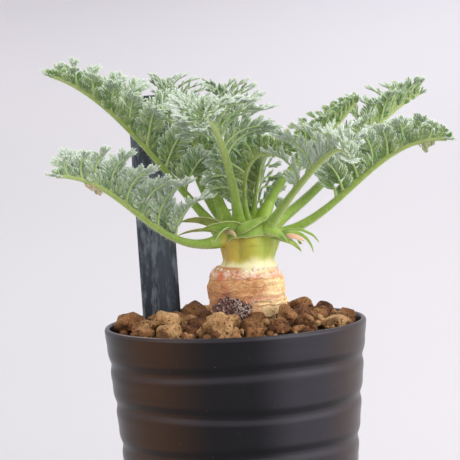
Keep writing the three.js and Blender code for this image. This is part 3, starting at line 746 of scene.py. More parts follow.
def grain_points(ball, radius, corner_sizes, blocky, seed):
    """A chipped, pitted grain about the origin, in the form of one of the part's grains."""
    power = GRAIN_BLOCK_POWER if blocky else GRAIN_ROUND_POWER
    half = (0.75 if blocky else 0.86) * radius
    points = ball * (np.abs(ball) ** power).sum(axis=1)[:, None] ** (-1 / power) * half
    if blocky:
        near = np.clip((1 + points / half * BOX_CORNERS[:, None]) / 2, 0, 1).prod(axis=2)
        size = (near * corner_sizes[:, None]).sum(axis=0) / near.sum(axis=0)
    else:
        size = 1 + 0.16 * noise(ball * 1.6, 1.0, seed, 1)
    points = points * (GRAIN_SWELL * size)[:, None]
    chips = np.random.default_rng(seed)
    for face in unit(chips.normal(size=(CHIP_COUNT, 3))):
        beyond = np.maximum(0, points @ face - chips.uniform(*CHIP_LEVELS) * radius)
        points = points - beyond[:, None] * face
    places = points + seed * 37.0
    lumps = 0.05 * radius * noise(places, 0.75 * radius, seed, 2)
    dents = -0.1 * radius * smooth_step(0.2, 0.75, noise(places, 0.36 * radius, seed + 5, 1))
    grit = 0.27 * noise(places, 1.4, seed + 9, 3)
    return points + ball * (lumps + dents + grit)[:, None]


def make_grains():
    bodies = [Body() for _ in range(3)]
    ball, faces = unit_ball(GRAIN_LEVEL)
    for index, (x, y, z, radius, tone) in enumerate(grain_places()):
        blocky = tone is None
        squash = source_draw(0.72, 0.95)
        # A three.js Euler in its usual XYZ order
        turns = [Matrix.Rotation(source_draw(0, math.pi), 3, axis) for axis in "XYZ"]
        sizes = [source_draw(0.84, 1.06) for _ in range(len(BOX_CORNERS) if blocky else ICOSAHEDRON_CORNERS)]
        points = grain_points(ball, radius, np.array(sizes), blocky, index + 1)
        points = points @ np.array(turns[0] @ turns[1] @ turns[2]).T
        points[:, 2] *= squash
        if blocky:
            tone = rng.choice(3, p=GRAIN_ODDS)
        bodies[tone].add(points + [x, y, z], [faces])
    crumb, faces = unit_ball(CRUMB_LEVEL)
    for index in range(CRUMB_COUNT):
        reach = CRUMB_RADIUS * math.sqrt(rng.random())
        angle = 2 * math.pi * rng.random()
        x, y = reach * math.cos(angle), reach * math.sin(angle)
        radius = 0.6 + 1.5 * rng.random() ** 2
        if plant_distance(x, y) < CRUMB_NEAREST + radius:
            continue
        z = SOIL_TOP_Z + 0.2 + 1.8 * (1 - (reach / CRUMB_RADIUS) ** 2) + 1.4 * rng.random()
        shape = crumb * (1 + 0.3 * noise(crumb * 1.4 + index, 1.0, index, 2))[:, None] * radius
        shape *= rng.uniform(0.7, 1.15, 3)
        bodies[rng.choice(3, p=CRUMB_ODDS)].add(shape + [x, y, z], [faces])
    return bodies


def packed_fill():
    """The fill below the grains, with an uneven top."""
    bottom = FOOT_LIFT + FLOOR_THICKNESS + CLEARANCE
    gap = CLEARANCE + 0.1
    rows = [(0.001, bottom), (20, bottom)]
    rows += [(inner_radius(z) - gap, z) for z in (bottom, 20, 45, 70, 80)]
    rows += [(inner_radius(SOIL_TOP_Z) - gap - 0.8, SOIL_TOP_Z - 1)]
    rows += [(r, SOIL_TOP_Z - 0.9 + 1.2 * (1 - (r / 42) ** 2)) for r in np.linspace(41, 0.001, 40)]
    points = lathe_points(*zip(*rows), FILL_SIDES).reshape(-1, 3)
    upper = points[:, 2] > SOIL_TOP_Z - 1.5
    points[:, 2] += np.where(upper, 1.3 * noise(points, 2.6, 3, 3), 0)
    fill = Body()
    fill.add(points, [ring_faces(len(rows), FILL_SIDES)])
    return fill


def make_soil():
    for (name, tones), body in zip(CLAY_TONES.items(), make_grains() + [packed_fill()]):
        place_piece(name, body, clay_material(name, *tones), "soil")


BARK_SIDES = 180
BARK_STEP = 0.17
# Peeling layers: lower edge, upper edge, thickness, azimuth of the middle, half-width in degrees
BARK_LAYERS = [
    (101.2, 103.9, 0.35, 250, 75), (99.2, 102.4, 0.28, 320, 60), (93.2, 96.2, 0.3, 300, 50),
    (92.0, 94.0, 0.42, 325, 42), (88.4, 92.6, 0.5, 318, 48), (97.0, 99.6, 0.25, 215, 40),
    (94.5, 99.0, 0.3, 120, 70), (89.0, 93.0, 0.4, 60, 60), (100.4, 103.6, 0.35, 60, 80),
    (86.0, 90.0, 0.35, 180, 60),
]
# The bark swells again at the foot, on one side
FOOT_BULGE = 1.0
FOOT_BULGE_DEG = 200


def turn_from(angle, azimuth):
    """How far angles in radians are from an azimuth, in degrees either way."""
    return np.abs((np.degrees(angle) - azimuth + 180) % 360 - 180)


def caudex_radius(z):
    return np.interp(z, CAUDEX_LEVELS, CAUDEX_RADII)


def bark_radius(z, angle, points):
    soft = (caudex_radius(z - 0.9) + caudex_radius(z + 0.9)) / 2
    radius = 0.5 * (caudex_radius(z) + soft)
    radius += 0.32 * np.sin(3 * angle + 0.16 * z) + 0.2 * np.sin(5 * angle - 0.21 * z + 1)
    radius += 0.2 * noise(points * [0.6, 0.6, 1.2], 3.0, 11, 3)
    radius += 0.04 * (1 - 2 * np.abs(noise(points * [0.5, 0.5, 1.8], 1.5, 23, 2)))
    radius += 0.07 * noise(points, 0.9, 29, 2)
    for low, high, thick, centre, half in BARK_LAYERS:
        sway = 1.3 * noise(points * [0.5, 0.5, 0.12], 1.5, centre, 3)
        inside = smooth_step(low - 0.12, low + 0.12, z + sway) * smooth_step(high + 0.5, high - 0.2, z + sway)
        radius += thick * inside * smooth_step(half, half - 8, turn_from(angle, centre) + 10 * sway)
    radius += FOOT_BULGE * smooth_step(96, 90.5, z) * smooth_step(75, 15, turn_from(angle, FOOT_BULGE_DEG))
    patch = smooth_step(8.5, 5.5, np.linalg.norm((points - PATCH_PLACE) * PATCH_SQUASH, axis=1))
    return radius + patch * 0.5 * noise(points, 1.1, 41, 3)


def make_caudex():
    top = CAUDEX_TOP_Z - 0.02
    z = np.concatenate([np.linspace(50, 84, 24), np.arange(84.2, top, BARK_STEP), [top]])
    axis = [PLANT_X, 0, 0]
    points = (lathe_points(caudex_radius(z), z, BARK_SIDES) + axis).reshape(-1, 3)
    radius = bark_radius(np.repeat(z, BARK_SIDES), np.tile(even_turns(BARK_SIDES), len(z)), points)
    body = Body()
    body.add(lathe_points(radius, z, BARK_SIDES) + axis, capped_faces(len(z), BARK_SIDES))
    place_piece("caudex_bark", body, bark_material(), "caudex")


def strip_way(direction, normal, curl, bow, share):
    """How a strip lies at a share of its length: along it, across it and out of its face."""
    side = np.cross(direction, normal)
    turn = (curl * share)[:, None]
    sway = (bow * share)[:, None]
    ahead = np.cos(sway) * (direction * np.cos(turn) + normal * np.sin(turn)) + side * np.sin(sway)
    over = normal * np.cos(turn) - direction * np.sin(turn)
    return ahead, np.cross(ahead, over), over


def add_strips(body, strips, sections, shades=0.0, tones=0.0):
    """Adds thin pointed strips, lens-shaped across, that curl towards their normal and bow sideways.

    strips are their roots, directions, normals, lengths, half widths, half thicknesses, curls and bows.
    sections are (share of the length, share of the width), and the tip follows them."""
    base, direction, normal, *sizes = strips
    length, half_width, half_thick, curl, bow = [np.broadcast_to(size, len(base)) for size in sizes]
    rings = []
    for share, width in sections:
        centre = base + (length * share)[:, None] * strip_way(direction, normal, curl, bow, share / 2)[0]
        _, across, over = strip_way(direction, normal, curl, bow, share)
        across = across * (half_width * width)[:, None]
        deep = over * (half_thick * (0.5 + 0.5 * width))[:, None]
        rings += [centre + across, centre - deep, centre - across, centre + deep]
    rings.append(base + length[:, None] * strip_way(direction, normal, curl, bow, 0.5)[0])
    points = np.stack(rings, axis=1)
    count, per = points.shape[:2]
    quads = np.concatenate([ring_faces(len(sections), 4), [[3, 2, 1, 0]]])
    fan = np.array([[per - 5 + i, per - 5 + (i + 1) % 4, per - 1] for i in range(4)])
    offsets = (np.arange(count) * per)[:, None, None]
    body.add(points, [(faces + offsets).reshape(-1, faces.shape[1]) for faces in (quads, fan)],
             np.tile(np.broadcast_to(shades, per), count), np.repeat(np.broadcast_to(tones, count), per))


class Midrib:
    """A leaf's midrib as in the part's source, with its place and directions at a share of its length."""

    def __init__(self, points):
        p = np.array(points, float)
        self.t = np.linspace(0, 1, 401)
        w = self.t[:, None]
        v = 1 - w
        self.curve = v**3 * p[0] + 3 * v**2 * w * p[1] + 3 * v * w**2 * p[2] + w**3 * p[3]
        self.slope = unit(v**2 * (p[1] - p[0]) + 2 * v * w * (p[2] - p[1]) + w**2 * (p[3] - p[2]))
        steps = np.linalg.norm(np.diff(self.curve, axis=0), axis=1)
        self.reach = np.concatenate([[0], np.cumsum(steps)])
        self.length = self.reach[-1]
        turn = math.atan2(p[3][1] - p[0][1], p[3][0] - p[0][0])
        self.across = np.array([-math.sin(turn), math.cos(turn), 0])

    def at(self, share):
        """Where the midrib is at the shares, and its directions: along, to its side and up."""
        t = np.interp(np.atleast_1d(share) * self.length, self.reach, self.t)
        place, slope = [np.stack([np.interp(t, self.t, values[:, i]) for i in range(3)], axis=-1)
                        for values in (self.curve, self.slope)]
        along = unit(slope)
        side = square_to(self.across, along)
        return place, along, side, np.cross(along, side)


midribs = {name: Midrib(points) for name, points, *_ in LEAVES}
STALK_BLADE_SHARE = 0.68


def stalk_radius(name, blade_from, share):
    base = SLENDER_STALK_RADIUS if name in SLENDER_LEAVES else STALK_RADIUS
    blade = STALK_BLADE_SHARE * base
    lower = mix(base, blade, share / blade_from)
    upper = mix(blade, MIDRIB_TIP_RADIUS, (share - blade_from) / (1 - blade_from))
    return np.where(share < blade_from, lower, upper)


LABEL_MARGIN = 0.9
STALK_MARGIN = 0.7


def crosses(paths, own, margin):
    """Which of the paths (n, k, 3) meet the label or come within a margin of another leaf's stalk."""
    x = paths[..., 0] - LABEL_PLACE[0]
    through = paths[..., 1] - LABEL_PLACE[1]
    across = x * math.cos(LABEL_LEAN) + paths[..., 2] * math.sin(LABEL_LEAN)
    level = paths[..., 2] * math.cos(LABEL_LEAN) - x * math.sin(LABEL_LEAN)
    within = (np.abs(across) < LABEL_WIDTH / 2 + 0.8) & (level < LABEL_TOP_Z + 0.8)
    sign = np.sign(through)
    changed = (sign[:, 1:] != sign[:, :-1]) & within[:, 1:] & within[:, :-1]
    hit = ((np.abs(through) < LABEL_MARGIN) & within).any(axis=1) | changed.any(axis=1)
    shares = np.linspace(0.06, 0.97, 46)
    for name, _, blade_from, *_ in LEAVES:
        if name != own:
            radii = stalk_radius(name, blade_from, shares) + margin
            apart = np.linalg.norm(paths[:, :, None] - midribs[name].at(shares)[0], axis=-1)
            hit |= (apart < radii).any(axis=(1, 2))
    return hit


# Leaflet pairs beyond the solid's, and how much woollier or barer than the rest a leaf is, partly as painted
# light that lifts leaves in shade and darkens others
EXTRA_PAIRS = {"front": 4, "back": 4, "back_left": 4, "young": 4, "centre": 4, "left_inner": 2,
               "right_high": 3}
LEAF_WOOL_AND_LIGHT = {"left_low": 0.5, "front": 0.3, "front_right": 1.25, "left_high": 0.06, "right_high": -0.8,
             "right": 0.1, "back_right": -0.15, "back": -0.1, "young": -0.2, "centre": -0.2}
WOOL_AND_LIGHT_MOST = 1.35
PINNA_SWELL = {"young": 1.5, "centre": 1.45, "front": 1.1, "left_high": 1.05}
LOW_SWELL = {"left_high": 0.24}
# Withered leaflets that hang under a midrib: where, as a share of it, and their tone
WITHERED = {"left_low": (0.8, 4.0), "right": (0.88, 2.5)}
WITHERED_LENGTHS = np.linspace(1.0, 4.2, 6)[[0, 3, 5, 2, 4, 1]]
TAPER_MOST = 0.6
# Where side leaflets, and where a stalk and its lobes end, as shares of the midrib
BLADE_END = 0.95
STALK_END = 0.975
SEGMENT_STEP = 1.5
LOBE_FROM = 0.12
LOBE_LENGTH = 0.42
LOBE_SWELL_BASE = 1.05
LOBE_SWELL_TIP = 0.62
LOBE_SPREAD_BASE = 46
LOBE_SPREAD_TIP = 26
RIB_SHARE = 0.8
RIB_STEPS = 12
RIB_SIDES = 6
# A rib leaves the midrib forwards and curls back, in radians from its mean direction
RIB_SWAY_START = -0.42
RIB_SWAY_END = 0.4
SPINE_LOBE_STEP = 1.9
SPINE_LOBE_FROM = 0.3
SPINE_LOBE_SHARE = 0.3
SPINE_END = 0.965
ANGLE_TIP_DEG = 58
# Turns and sizes that a leaflet tries, one after another, until it is clear of its neighbours
LIFT_TRIES = [(0, 1), (12, 1), (-12, 1), (24, 0.95), (-24, 0.9), (10, 0.7), (-10, 0.6), (0, 0.4)]


def leaflet_rib(midrib, at, sign, length, angle, rises, shingle):
    """The curve of a leaflet's rib, rising from the midrib and arching outwards, with its directions."""
    place, along, side, up = [v[0] for v in midrib.at(at)]
    side = side * sign

    def heading(share):
        rise = np.radians(mix(*rises, share))[:, None]
        sway = angle + mix(RIB_SWAY_START, RIB_SWAY_END, share)[:, None]
        return np.cos(sway) * along + np.sin(sway) * (np.cos(rise) * side + np.sin(rise) * up)

    middle = heading((np.arange(RIB_STEPS) + 0.5) / RIB_STEPS)
    path = place + np.concatenate([np.zeros((1, 3)), np.cumsum(middle * length / RIB_STEPS, axis=0)])
    direction = unit(heading(np.arange(RIB_STEPS + 1) / RIB_STEPS))
    forward = square_to(along, direction)
    outer = np.cross(direction, forward) * -sign
    across = forward * math.cos(shingle) - outer * math.sin(shingle)
    return path, direction, across, np.cross(across, direction) * sign


def along_path(values, share):
    """Rows of values, spaced evenly from 0 to 1, read at the shares."""
    grid = np.linspace(0, 1, len(values))
    return np.stack([np.interp(share, grid, values[:, i]) for i in range(values.shape[1])], axis=-1)


def leaflet_lobes(rib, sign, length, spacing, body):
    """Adds a leaflet's rib, and gives the lobes along it and the one at its tip."""
    path, direction, across, outer = rib
    girth = mix(0.7, 1, min(1, length / 15))
    grow = np.linspace(0, 1, RIB_STEPS + 1)[:, None]
    wing = 0.5 * np.maximum(0, 1 - 5 * grow)
    tube(body, path, np.ones(RIB_STEPS + 1), across * (mix(0.55, 0.28, grow) + wing) * girth,
         outer * sign * mix(0.46, 0.22, grow) * girth, RIB_SIDES, 1.001 + grow[:, 0])
    n = max(4, int((1 - LOBE_FROM) * RIB_SHARE * length / SEGMENT_STEP))
    shares = np.clip(np.linspace(LOBE_FROM, 0.97, n) + rng.uniform(-0.02, 0.02, n), 0, 1)
    flank = np.where(np.arange(n) % 2 == 0, 1.0, -1.0)[:, None]
    spread = np.radians(mix(LOBE_SPREAD_BASE, LOBE_SPREAD_TIP, (shares - LOBE_FROM) / (1 - LOBE_FROM)))
    spread = spread + np.radians(rng.uniform(-3, 3, n))
    over = along_path(outer, shares)
    heading = turned_to(unit(along_path(direction, shares)), unit(along_path(across, shares)) * flank, spread)
    heading = unit(turned_to(heading, over, np.radians(rng.uniform(-2, 8, n))))
    widest = min(LOBE_LENGTH * length, max(0.7 * spacing + 2.2, 0.27 * length + 1.2))
    swell = mix(LOBE_SWELL_BASE, LOBE_SWELL_TIP, shares) * np.clip(shares / 0.22, 0.7, 1)
    lengths = widest * swell * rng.uniform(0.88, 1.08, n) + 0.5
    return [(along_path(path, shares), heading, over, lengths, shares * min(1, length / 9)),
            (path[-2:-1], direction[-1:], outer[-1:], [0.28 * length + 0.8], [1.0])]


def spine_lobes(midrib, sign, blade_from, pinna, taper, rise):
    """The lobes that stand on the midrib itself, between the leaflets."""
    first = mix(blade_from, 0.96, SPINE_LOBE_FROM)
    n = int((SPINE_END - first) * midrib.length / SPINE_LOBE_STEP)
    shares = np.linspace(first, SPINE_END, n) + (0 if sign > 0 else 0.5) / n * (SPINE_END - first)
    shares = np.clip(shares + rng.uniform(-0.004, 0.004, n), 0, STALK_END)
    place, along, side, up = midrib.at(shares)
    blade_share = np.clip((shares - blade_from) / (BLADE_END - blade_from), 0, 1)
    angle = np.radians(mix(ANGLE_BASE_DEG, 50, blade_share) + rng.uniform(-8, 8, n))
    rise = np.radians(rise - 12 + rng.uniform(-16, 10, n))
    out = turned_to(side * sign, up, rise)
    most = SPINE_LOBE_SHARE * pinna * (1 - blade_share) ** taper + 2.6
    lengths = np.minimum(most, 0.26 * pinna + 0.8) * rng.uniform(0.8, 1.1, n)
    over = turned_to(up, -side * sign, rise)
    return place + out * 0.4, turned_to(along, out, angle), over, lengths, 0.3 * blade_share


def withered_lobes(midrib, middle, tone):
    n = len(WITHERED_LENGTHS)
    place, along, side, _ = midrib.at(middle + np.linspace(-0.04, 0.04, n))
    heading = along * rng.uniform(-1.2, 1.2, (n, 1)) + side * rng.uniform(-0.6, 0.6, (n, 1)) - 0.8 * UP
    return place - 0.3 * UP, unit(heading), side, WITHERED_LENGTHS, np.full(n, tone)


def leaf_lobes(name, midrib, blade_from, pinna, pairs, taper, rises, body):
    """Adds the ribs of a leaf's leaflets, and gives its lobes: roots, directions, normals, lengths, tones."""
    pairs += EXTRA_PAIRS.get(name, 0)
    pinna *= PINNA_SWELL.get(name, 1)
    taper = min(taper, TAPER_MOST)
    margin = 0.0 if name in SLENDER_LEAVES else STALK_MARGIN
    lobes = []
    places = mix(blade_from, BLADE_END, 1 - (1 - np.arange(pairs + 2) / (pairs + 1)) ** SPACING_POWER)
    for i, (at, following) in enumerate(zip(places, places[1:])):
        share = i / (pairs + 1)
        full = pinna * (1 - share) ** taper * (BASAL_SHARE if i == 0 else 1)
        full *= 1 + LOW_SWELL.get(name, 0) * math.exp(-(((share - 0.2) / 0.17) ** 2))
        for sign in (1, -1):
            place = at + (0 if sign > 0 else 0.4) * (following - at)
            angle = math.radians(mix(ANGLE_BASE_DEG, ANGLE_TIP_DEG, share) + rng.uniform(-5, 5))
            length = full * rng.uniform(0.96, 1.08)
            shingle = math.radians(SHINGLE_DEG + rng.uniform(-14, 16))
            for lift, scale in LIFT_TRIES:
                turned = np.add(rises, lift + rng.uniform(-7, 7))
                rib = leaflet_rib(midrib, place, sign, RIB_SHARE * length * scale, angle, turned, shingle)
                if not crosses(rib[0][None, 2:], name, margin)[0]:
                    lobes += leaflet_lobes(rib, sign, length * scale, (following - at) * midrib.length, body)
                    break
    lobes += [spine_lobes(midrib, sign, blade_from, pinna, taper, rises[0]) for sign in (1, -1)]
    # A fan of lobes at the midrib's end
    turns = np.radians(np.arange(-75, 76, 25))
    place, along, side, up = [np.repeat(v, len(turns), axis=0) for v in midrib.at(SPINE_END)]
    reach = TIP_SHARE * pinna * (1 - 0.15 * np.abs(turns) / turns[-1])
    lobes.append((place, turned_to(along, side, turns), up, reach, np.full(len(turns), 0.6)))
    if name in WITHERED:
        lobes.append(withered_lobes(midrib, *WITHERED[name]))
    start, direction, normal, length, tone = [np.concatenate(group) for group in zip(*lobes)]
    direction = unit(direction)
    ends = start + direction * length[:, None]
    clear = ~crosses(np.stack([start, 0.5 * (start + ends), ends], axis=1), name, margin)
    return [values[clear] for values in (start, direction, square_to(normal, direction), length, tone)]


# The fingers of one lobe: where each starts along its palm and across it, its turn in degrees, its length
# as a share of the lobe's, and the shortest lobe that has it
FINGERS = [
    (0.95, 0.0, 0, 0.5, 0.0), (0.8, 0.7, 11, 0.52, 1.6), (0.74, -0.7, -11, 0.52, 1.8),
    (0.5, 0.95, 21, 0.5, 2.7), (0.44, -0.95, -21, 0.5, 3.0), (0.2, 0.95, 29, 0.48, 4.2),
    (0.14, -0.95, -29, 0.46, 4.7),
]
# Shares of the length and of the width, for add_strips
FINGER_SECTIONS = [(0.0, 0.75), (0.45, 1.0), (0.86, 0.85)]
PALM_SECTIONS = [(0.0, 0.45), (0.45, 0.68), (0.9, 1.0)]
STRIP_EDGE = (1.0, 0.0, 1.0, 0.0)
PALM_SHARE = 0.54
PALM_HALF_LEAST = 0.28
PALM_HALF_GROWTH = 0.12
FINGER_LEAST = 1.5
FINGER_MOST = 3.7
FINGER_HALF_WIDTH = 0.42
STRIP_HALF_THICK = 0.15
# How much of its turn a finger bends back
FINGER_BOW = 0.6


def strip_shades(sections, growth, edge_part, tip):
    shades = [2.0 + growth * share + edge_part * edge for share, _ in sections for edge in STRIP_EDGE]
    return shades + [tip]


def leaf_fingers(lobes, body):
    """Splits each lobe into a flat palm and its fingers, and gives the fingers as strips."""
    n = len(lobes[0])
    bend = np.radians(rng.uniform(0, 16, n))
    start, direction, normal, length, tone = lobes
    half = PALM_HALF_LEAST + PALM_HALF_GROWTH * length
    add_strips(body, (start, direction, normal, length * PALM_SHARE, half, STRIP_HALF_THICK, bend, 0.0),
               PALM_SECTIONS, strip_shades(PALM_SECTIONS, 0.15, 0.2, 2.2), tone)
    kept = []
    for along, across, turn, share, shortest in FINGERS:
        use = length > shortest * rng.uniform(0.9, 1.15, n)
        m = int(use.sum())
        if not m:
            continue
        way = direction[use], normal[use], bend[use], np.zeros(m)
        ahead, side, over = strip_way(*way, along)
        middle = strip_way(*way, along / 2)[0] * (length[use] * PALM_SHARE * along)[:, None]
        offset = 0.72 * across * np.interp(along, *zip(*PALM_SECTIONS)) * half[use]
        angle = np.radians(turn + rng.uniform(-3, 3, m))
        heading = turned_to(ahead, side, angle)
        heading = unit(turned_to(heading, over, np.radians(rng.uniform(-3, 6, m))))
        over = square_to(over, heading)
        # A turn of the finger about its own length
        over = turned_to(over, np.cross(heading, over), np.radians(rng.uniform(-8, 8, m)))
        size = np.clip(length[use] * share, FINGER_LEAST, FINGER_MOST) * rng.uniform(0.88, 1.15, m)
        bow = -FINGER_BOW * angle + np.radians(rng.uniform(-7, 7, m))
        curl = np.radians(rng.uniform(-4, 30, m))
        kept.append((start[use] + middle + side * offset[:, None], heading, over, size, curl, bow, tone[use]))
    base, heading, over, size, curl, bow, tone = [np.concatenate(group) for group in zip(*kept)]
    width = FINGER_HALF_WIDTH * rng.uniform(0.85, 1.1, len(base)) * np.clip(size / 2.4, 0.8, 1.05)
    fingers = base, heading, over, size, width, np.full(len(base), STRIP_HALF_THICK), curl, bow
    add_strips(body, fingers, FINGER_SECTIONS, strip_shades(FINGER_SECTIONS, 0.4, 0.5, 3.0), tone)
    return fingers


HAIRS_PER_MM = 2.3
HAIR_RADIUS = 0.034
STALK_HAIRS_PER_MM = 15
STALK_HAIR_RADIUS = 0.026
# The four corners of a hair's spike make these faces
HAIR_FACES = np.array([[0, 1, 3], [1, 2, 3], [2, 0, 3], [0, 2, 1]])


def add_hairs(body, place, way, width, thick, sunk, lean, lengths, radius):
    """Adds slender closed spikes round the places, on a surface that is width and thick from them.

    way is along, to the side and up, and lean how much a hair heads outwards and along."""
    n = len(place)
    ahead, side, up = way
    angle = (rng.random(n) * 2 * math.pi)[:, None]
    across, over = side * np.cos(angle), up * np.sin(angle)
    root = place + sunk * (across * width[:, None] + over * thick[:, None])
    direction = unit((across + over) * lean[0] + ahead * lean[1] + rng.normal(0, 0.25, (n, 3)))
    helper = np.where(np.abs(direction[:, 2:]) < 0.8, [UP], [[1.0, 0.0, 0.0]])
    one = unit(np.cross(direction, helper))
    two = np.cross(direction, one)
    corners = [root + radius * (one * math.cos(turn) + two * math.sin(turn)) for turn in even_turns(3)]
    corners.append(root + direction * rng.uniform(*lengths, n)[:, None])
    offsets = (np.arange(n) * 4)[:, None, None]
    body.add(np.stack(corners, axis=1), [(HAIR_FACES + offsets).reshape(-1, 3)])


def finger_hairs(fingers, body):
    size = fingers[3]
    count = int(HAIRS_PER_MM * size.sum())
    pick = rng.choice(len(size), count, p=size / size.sum())
    base, heading, over, size, width, thick, curl, bow = [values[pick] for values in fingers]
    share = 1 - rng.random(count) ** 1.2
    centre = base + (size * share)[:, None] * strip_way(heading, over, curl, bow, share / 2)[0]
    way = strip_way(heading, over, curl, bow, share)
    add_hairs(body, centre, way, width, thick, 0.7, (0.7, 0.85), (0.4, 1.2), HAIR_RADIUS)


def stalk_hairs(name, midrib, blade_from, body):
    first = 0.6 * BASE_LENGTH / midrib.length
    share = rng.uniform(first, 0.97, int(STALK_HAIRS_PER_MM * (1 - first) * midrib.length))
    place, *way = midrib.at(share)
    radius = STALK_SHARE * stalk_radius(name, blade_from, share)
    add_hairs(body, place, way, radius, radius, 0.9, (1, 0.35), (0.6, 1.3), STALK_HAIR_RADIUS)


STALK_SIDES = 14
STALK_SHARE = 0.84
STALK_FLARE = 1.0
STALK_ROUGHNESS = 0.03
STALK_RINGS = 90
STALK_FOOT = 3.0


def make_leaf(name, _, blade_from, pinna, pairs, taper, rises, blade, hair):
    midrib = midribs[name]
    body = Body()
    shares = np.linspace(0, STALK_END, STALK_RINGS)
    place, along, side, up = midrib.at(shares)
    uneven = 1 + STALK_ROUGHNESS * noise(place, 6.0, 5, 2)
    radii = STALK_SHARE * stalk_radius(name, blade_from, shares) * uneven
    radii += STALK_FLARE * np.maximum(0, 1 - shares * midrib.length / (1.5 * BASE_LENGTH)) ** 2
    # The stalk starts with a narrower foot inside the crown
    foot = place[:1] - along[:1] * STALK_FOOT
    rows = [(foot, place), ([0.5 * radii[0]], radii), (side[:1], side), (up[:1], up)]
    tube(body, *[np.concatenate(pair) for pair in rows], STALK_SIDES, np.concatenate([[0.0], shares]))
    lobes = leaf_lobes(name, midrib, blade_from, pinna, pairs, taper, rises, body)
    tones = lobes[-1]
    woolly = tones < 2
    tones[woolly] = np.minimum(tones[woolly] + LEAF_WOOL_AND_LIGHT.get(name, 0), WOOL_AND_LIGHT_MOST)
    fingers = leaf_fingers(lobes, body)
    place_piece(f"leaf_{name}_fronds", body, blade, f"leaf_{name}")
    hairs = Body()
    finger_hairs(fingers, hairs)
    stalk_hairs(name, midrib, blade_from, hairs)
    place_piece(f"leaf_{name}_hairs", hairs, hair, smooth=False)


# The leaf bases that make up the neck: azimuth, radius, distance from its axis at the foot and at the top
NECK_COLUMNS = [
    (221, 4.2, 5.1, 6.0), (284, 5.0, 4.4, 5.4), (325, 3.7, 5.5, 7.6), (352, 3.0, 5.9, 8.8),
    (25, 3.6, 5.4, 7.4), (75, 4.2, 5.0, 6.4), (120, 4.2, 5.0, 6.4), (165, 3.9, 5.2, 6.8),
]
NECK_AXIS = np.array([5.6, 0, 0])
NECK_TOP_Z = 116.0
# The core inside them: height above the caudex, radius
NECK_CORE = [(-1.8, 9.4), (-0.8, 10.0), (0.2, 9.8), (1.2, 9.1), (2.4, 8.3), (4, 6.8), (8.5, 6.2), (12, 6.6),
             (14.5, 5.6)]
CORE_SIDES = 48
STUB_SIDES = 20
COLUMN_SIDES = 24
# Towards where, and how far as a share, a stalk's foot spreads into the neck
SPREAD_PLACE = NECK_AXIS + [0, 0, 113]
SPREAD_SHARE = 0.55
CROWN_VOXEL = 0.42
CROWN_SMOOTHING = 3
GROOVE_LEVEL = 0.8
GROOVE_DEPTH = 2.3
COLLAR_SIDES = 200
COLLAR_X = 6.4
COLLAR_HEIGHT = 5.2
COLLAR_THICKNESS = 0.35
COLLAR_WAVE = 0.45
# How far the collar's front is drawn in to the neck, and its azimuth
COLLAR_TUCK = 1.0
COLLAR_TUCK_DEG = 262
# The collar's free margin: azimuth, height
COLLAR_MARGIN = [(0, 113.6), (40, 114.6), (120, 114.8), (190, 114.0), (218, 113.7), (240, 115.2),
                 (272, 115.6), (300, 115.9), (324, 114.6), (340, 113.3), (360, 113.6)]
# The collar's section: share of its height, radius
COLLAR_SECTIONS = [(0.0, 11.4), (0.06, 11.35), (0.13, 11.25), (0.4, 10.8), (0.75, 10.0), (1.0, 8.4),
                   (1.12, 7.0)]


def shade_grooves(mesh):
    """Gives each vertex of the neck how deep it lies between the columns, from 0 to 1."""
    places = np.empty(3 * len(mesh.vertices), np.float32)
    mesh.vertices.foreach_get("co", places)
    places = places.reshape(-1, 3)
    reach = np.hypot(places[:, 0] - NECK_AXIS[0], places[:, 1])
    level = np.floor(places[:, 2] / GROOVE_LEVEL).astype(int)
    level -= level.min()
    crest = np.array([np.percentile(reach[level == k], 80) if (level == k).any() else 0
                      for k in range(level.max() + 1)])
    set_values(mesh, "shade", np.clip((crest[level] - reach) / GROOVE_DEPTH, 0, 1))


def make_crown():
    body = Body()
    levels, radii = zip(*NECK_CORE)
    rows = np.linspace(levels[0], levels[-1], 30)
    points = lathe_points(np.interp(rows, levels, radii), CAUDEX_TOP_Z + rows, CORE_SIDES).reshape(-1, 3)
    points = points + NECK_AXIS
    points[:, 2] += 0.35 * noise(points, 3.0, 71, 2)
    body.add(points, capped_faces(len(rows), CORE_SIDES))
    for name, midrib in midribs.items():
        slender = name in SLENDER_LEAVES
        share = BASE_LENGTH * (SLENDER_BASE_SHARE if slender else 1) / midrib.length
        shares = np.linspace(0, share * 1.1, 12)
        place, _, side, up = midrib.at(shares)
        radius = STALK_SHARE * (SLENDER_STALK_RADIUS if slender else STALK_RADIUS)
        flare = 1.5 * BASE_FLARE * np.maximum(0, 1 - shares / share)
        tube(body, place, radius - 0.25 + flare, side, up, STUB_SIDES)
        path = place[0] + (SPREAD_PLACE - place[0]) * np.linspace(0, SPREAD_SHARE, 5)[:, None]
        limb(body, path, np.full(5, radius + 1.0), [[0.3, 0.9, 0.2]], STUB_SIDES)
    heights = np.linspace(0, 1, 16)
    for azimuth, radius, inner, outer in NECK_COLUMNS:
        out = level_way(math.radians(azimuth))
        path = NECK_AXIS + out * mix(inner, outer, smooth_step(0.1, 1.0, heights))[:, None]
        path[:, 2] = mix(CAUDEX_TOP_Z + CLEARANCE, NECK_TOP_Z, heights)
        limb(body, path, radius * mix(1, 0.85, heights**3), out[None], COLUMN_SIDES)
    mesh = applied(body.mesh("neck_bases", 1.0), "REMESH", mode="VOXEL", voxel_size=CROWN_VOXEL)
    mesh = applied(mesh, "SMOOTH", factor=0.5, iterations=CROWN_SMOOTHING)
    shade_grooves(mesh)
    mesh.transform(Matrix.Scale(MM, 4))
    place_piece("neck_bases", mesh, crown_material(), "crown")


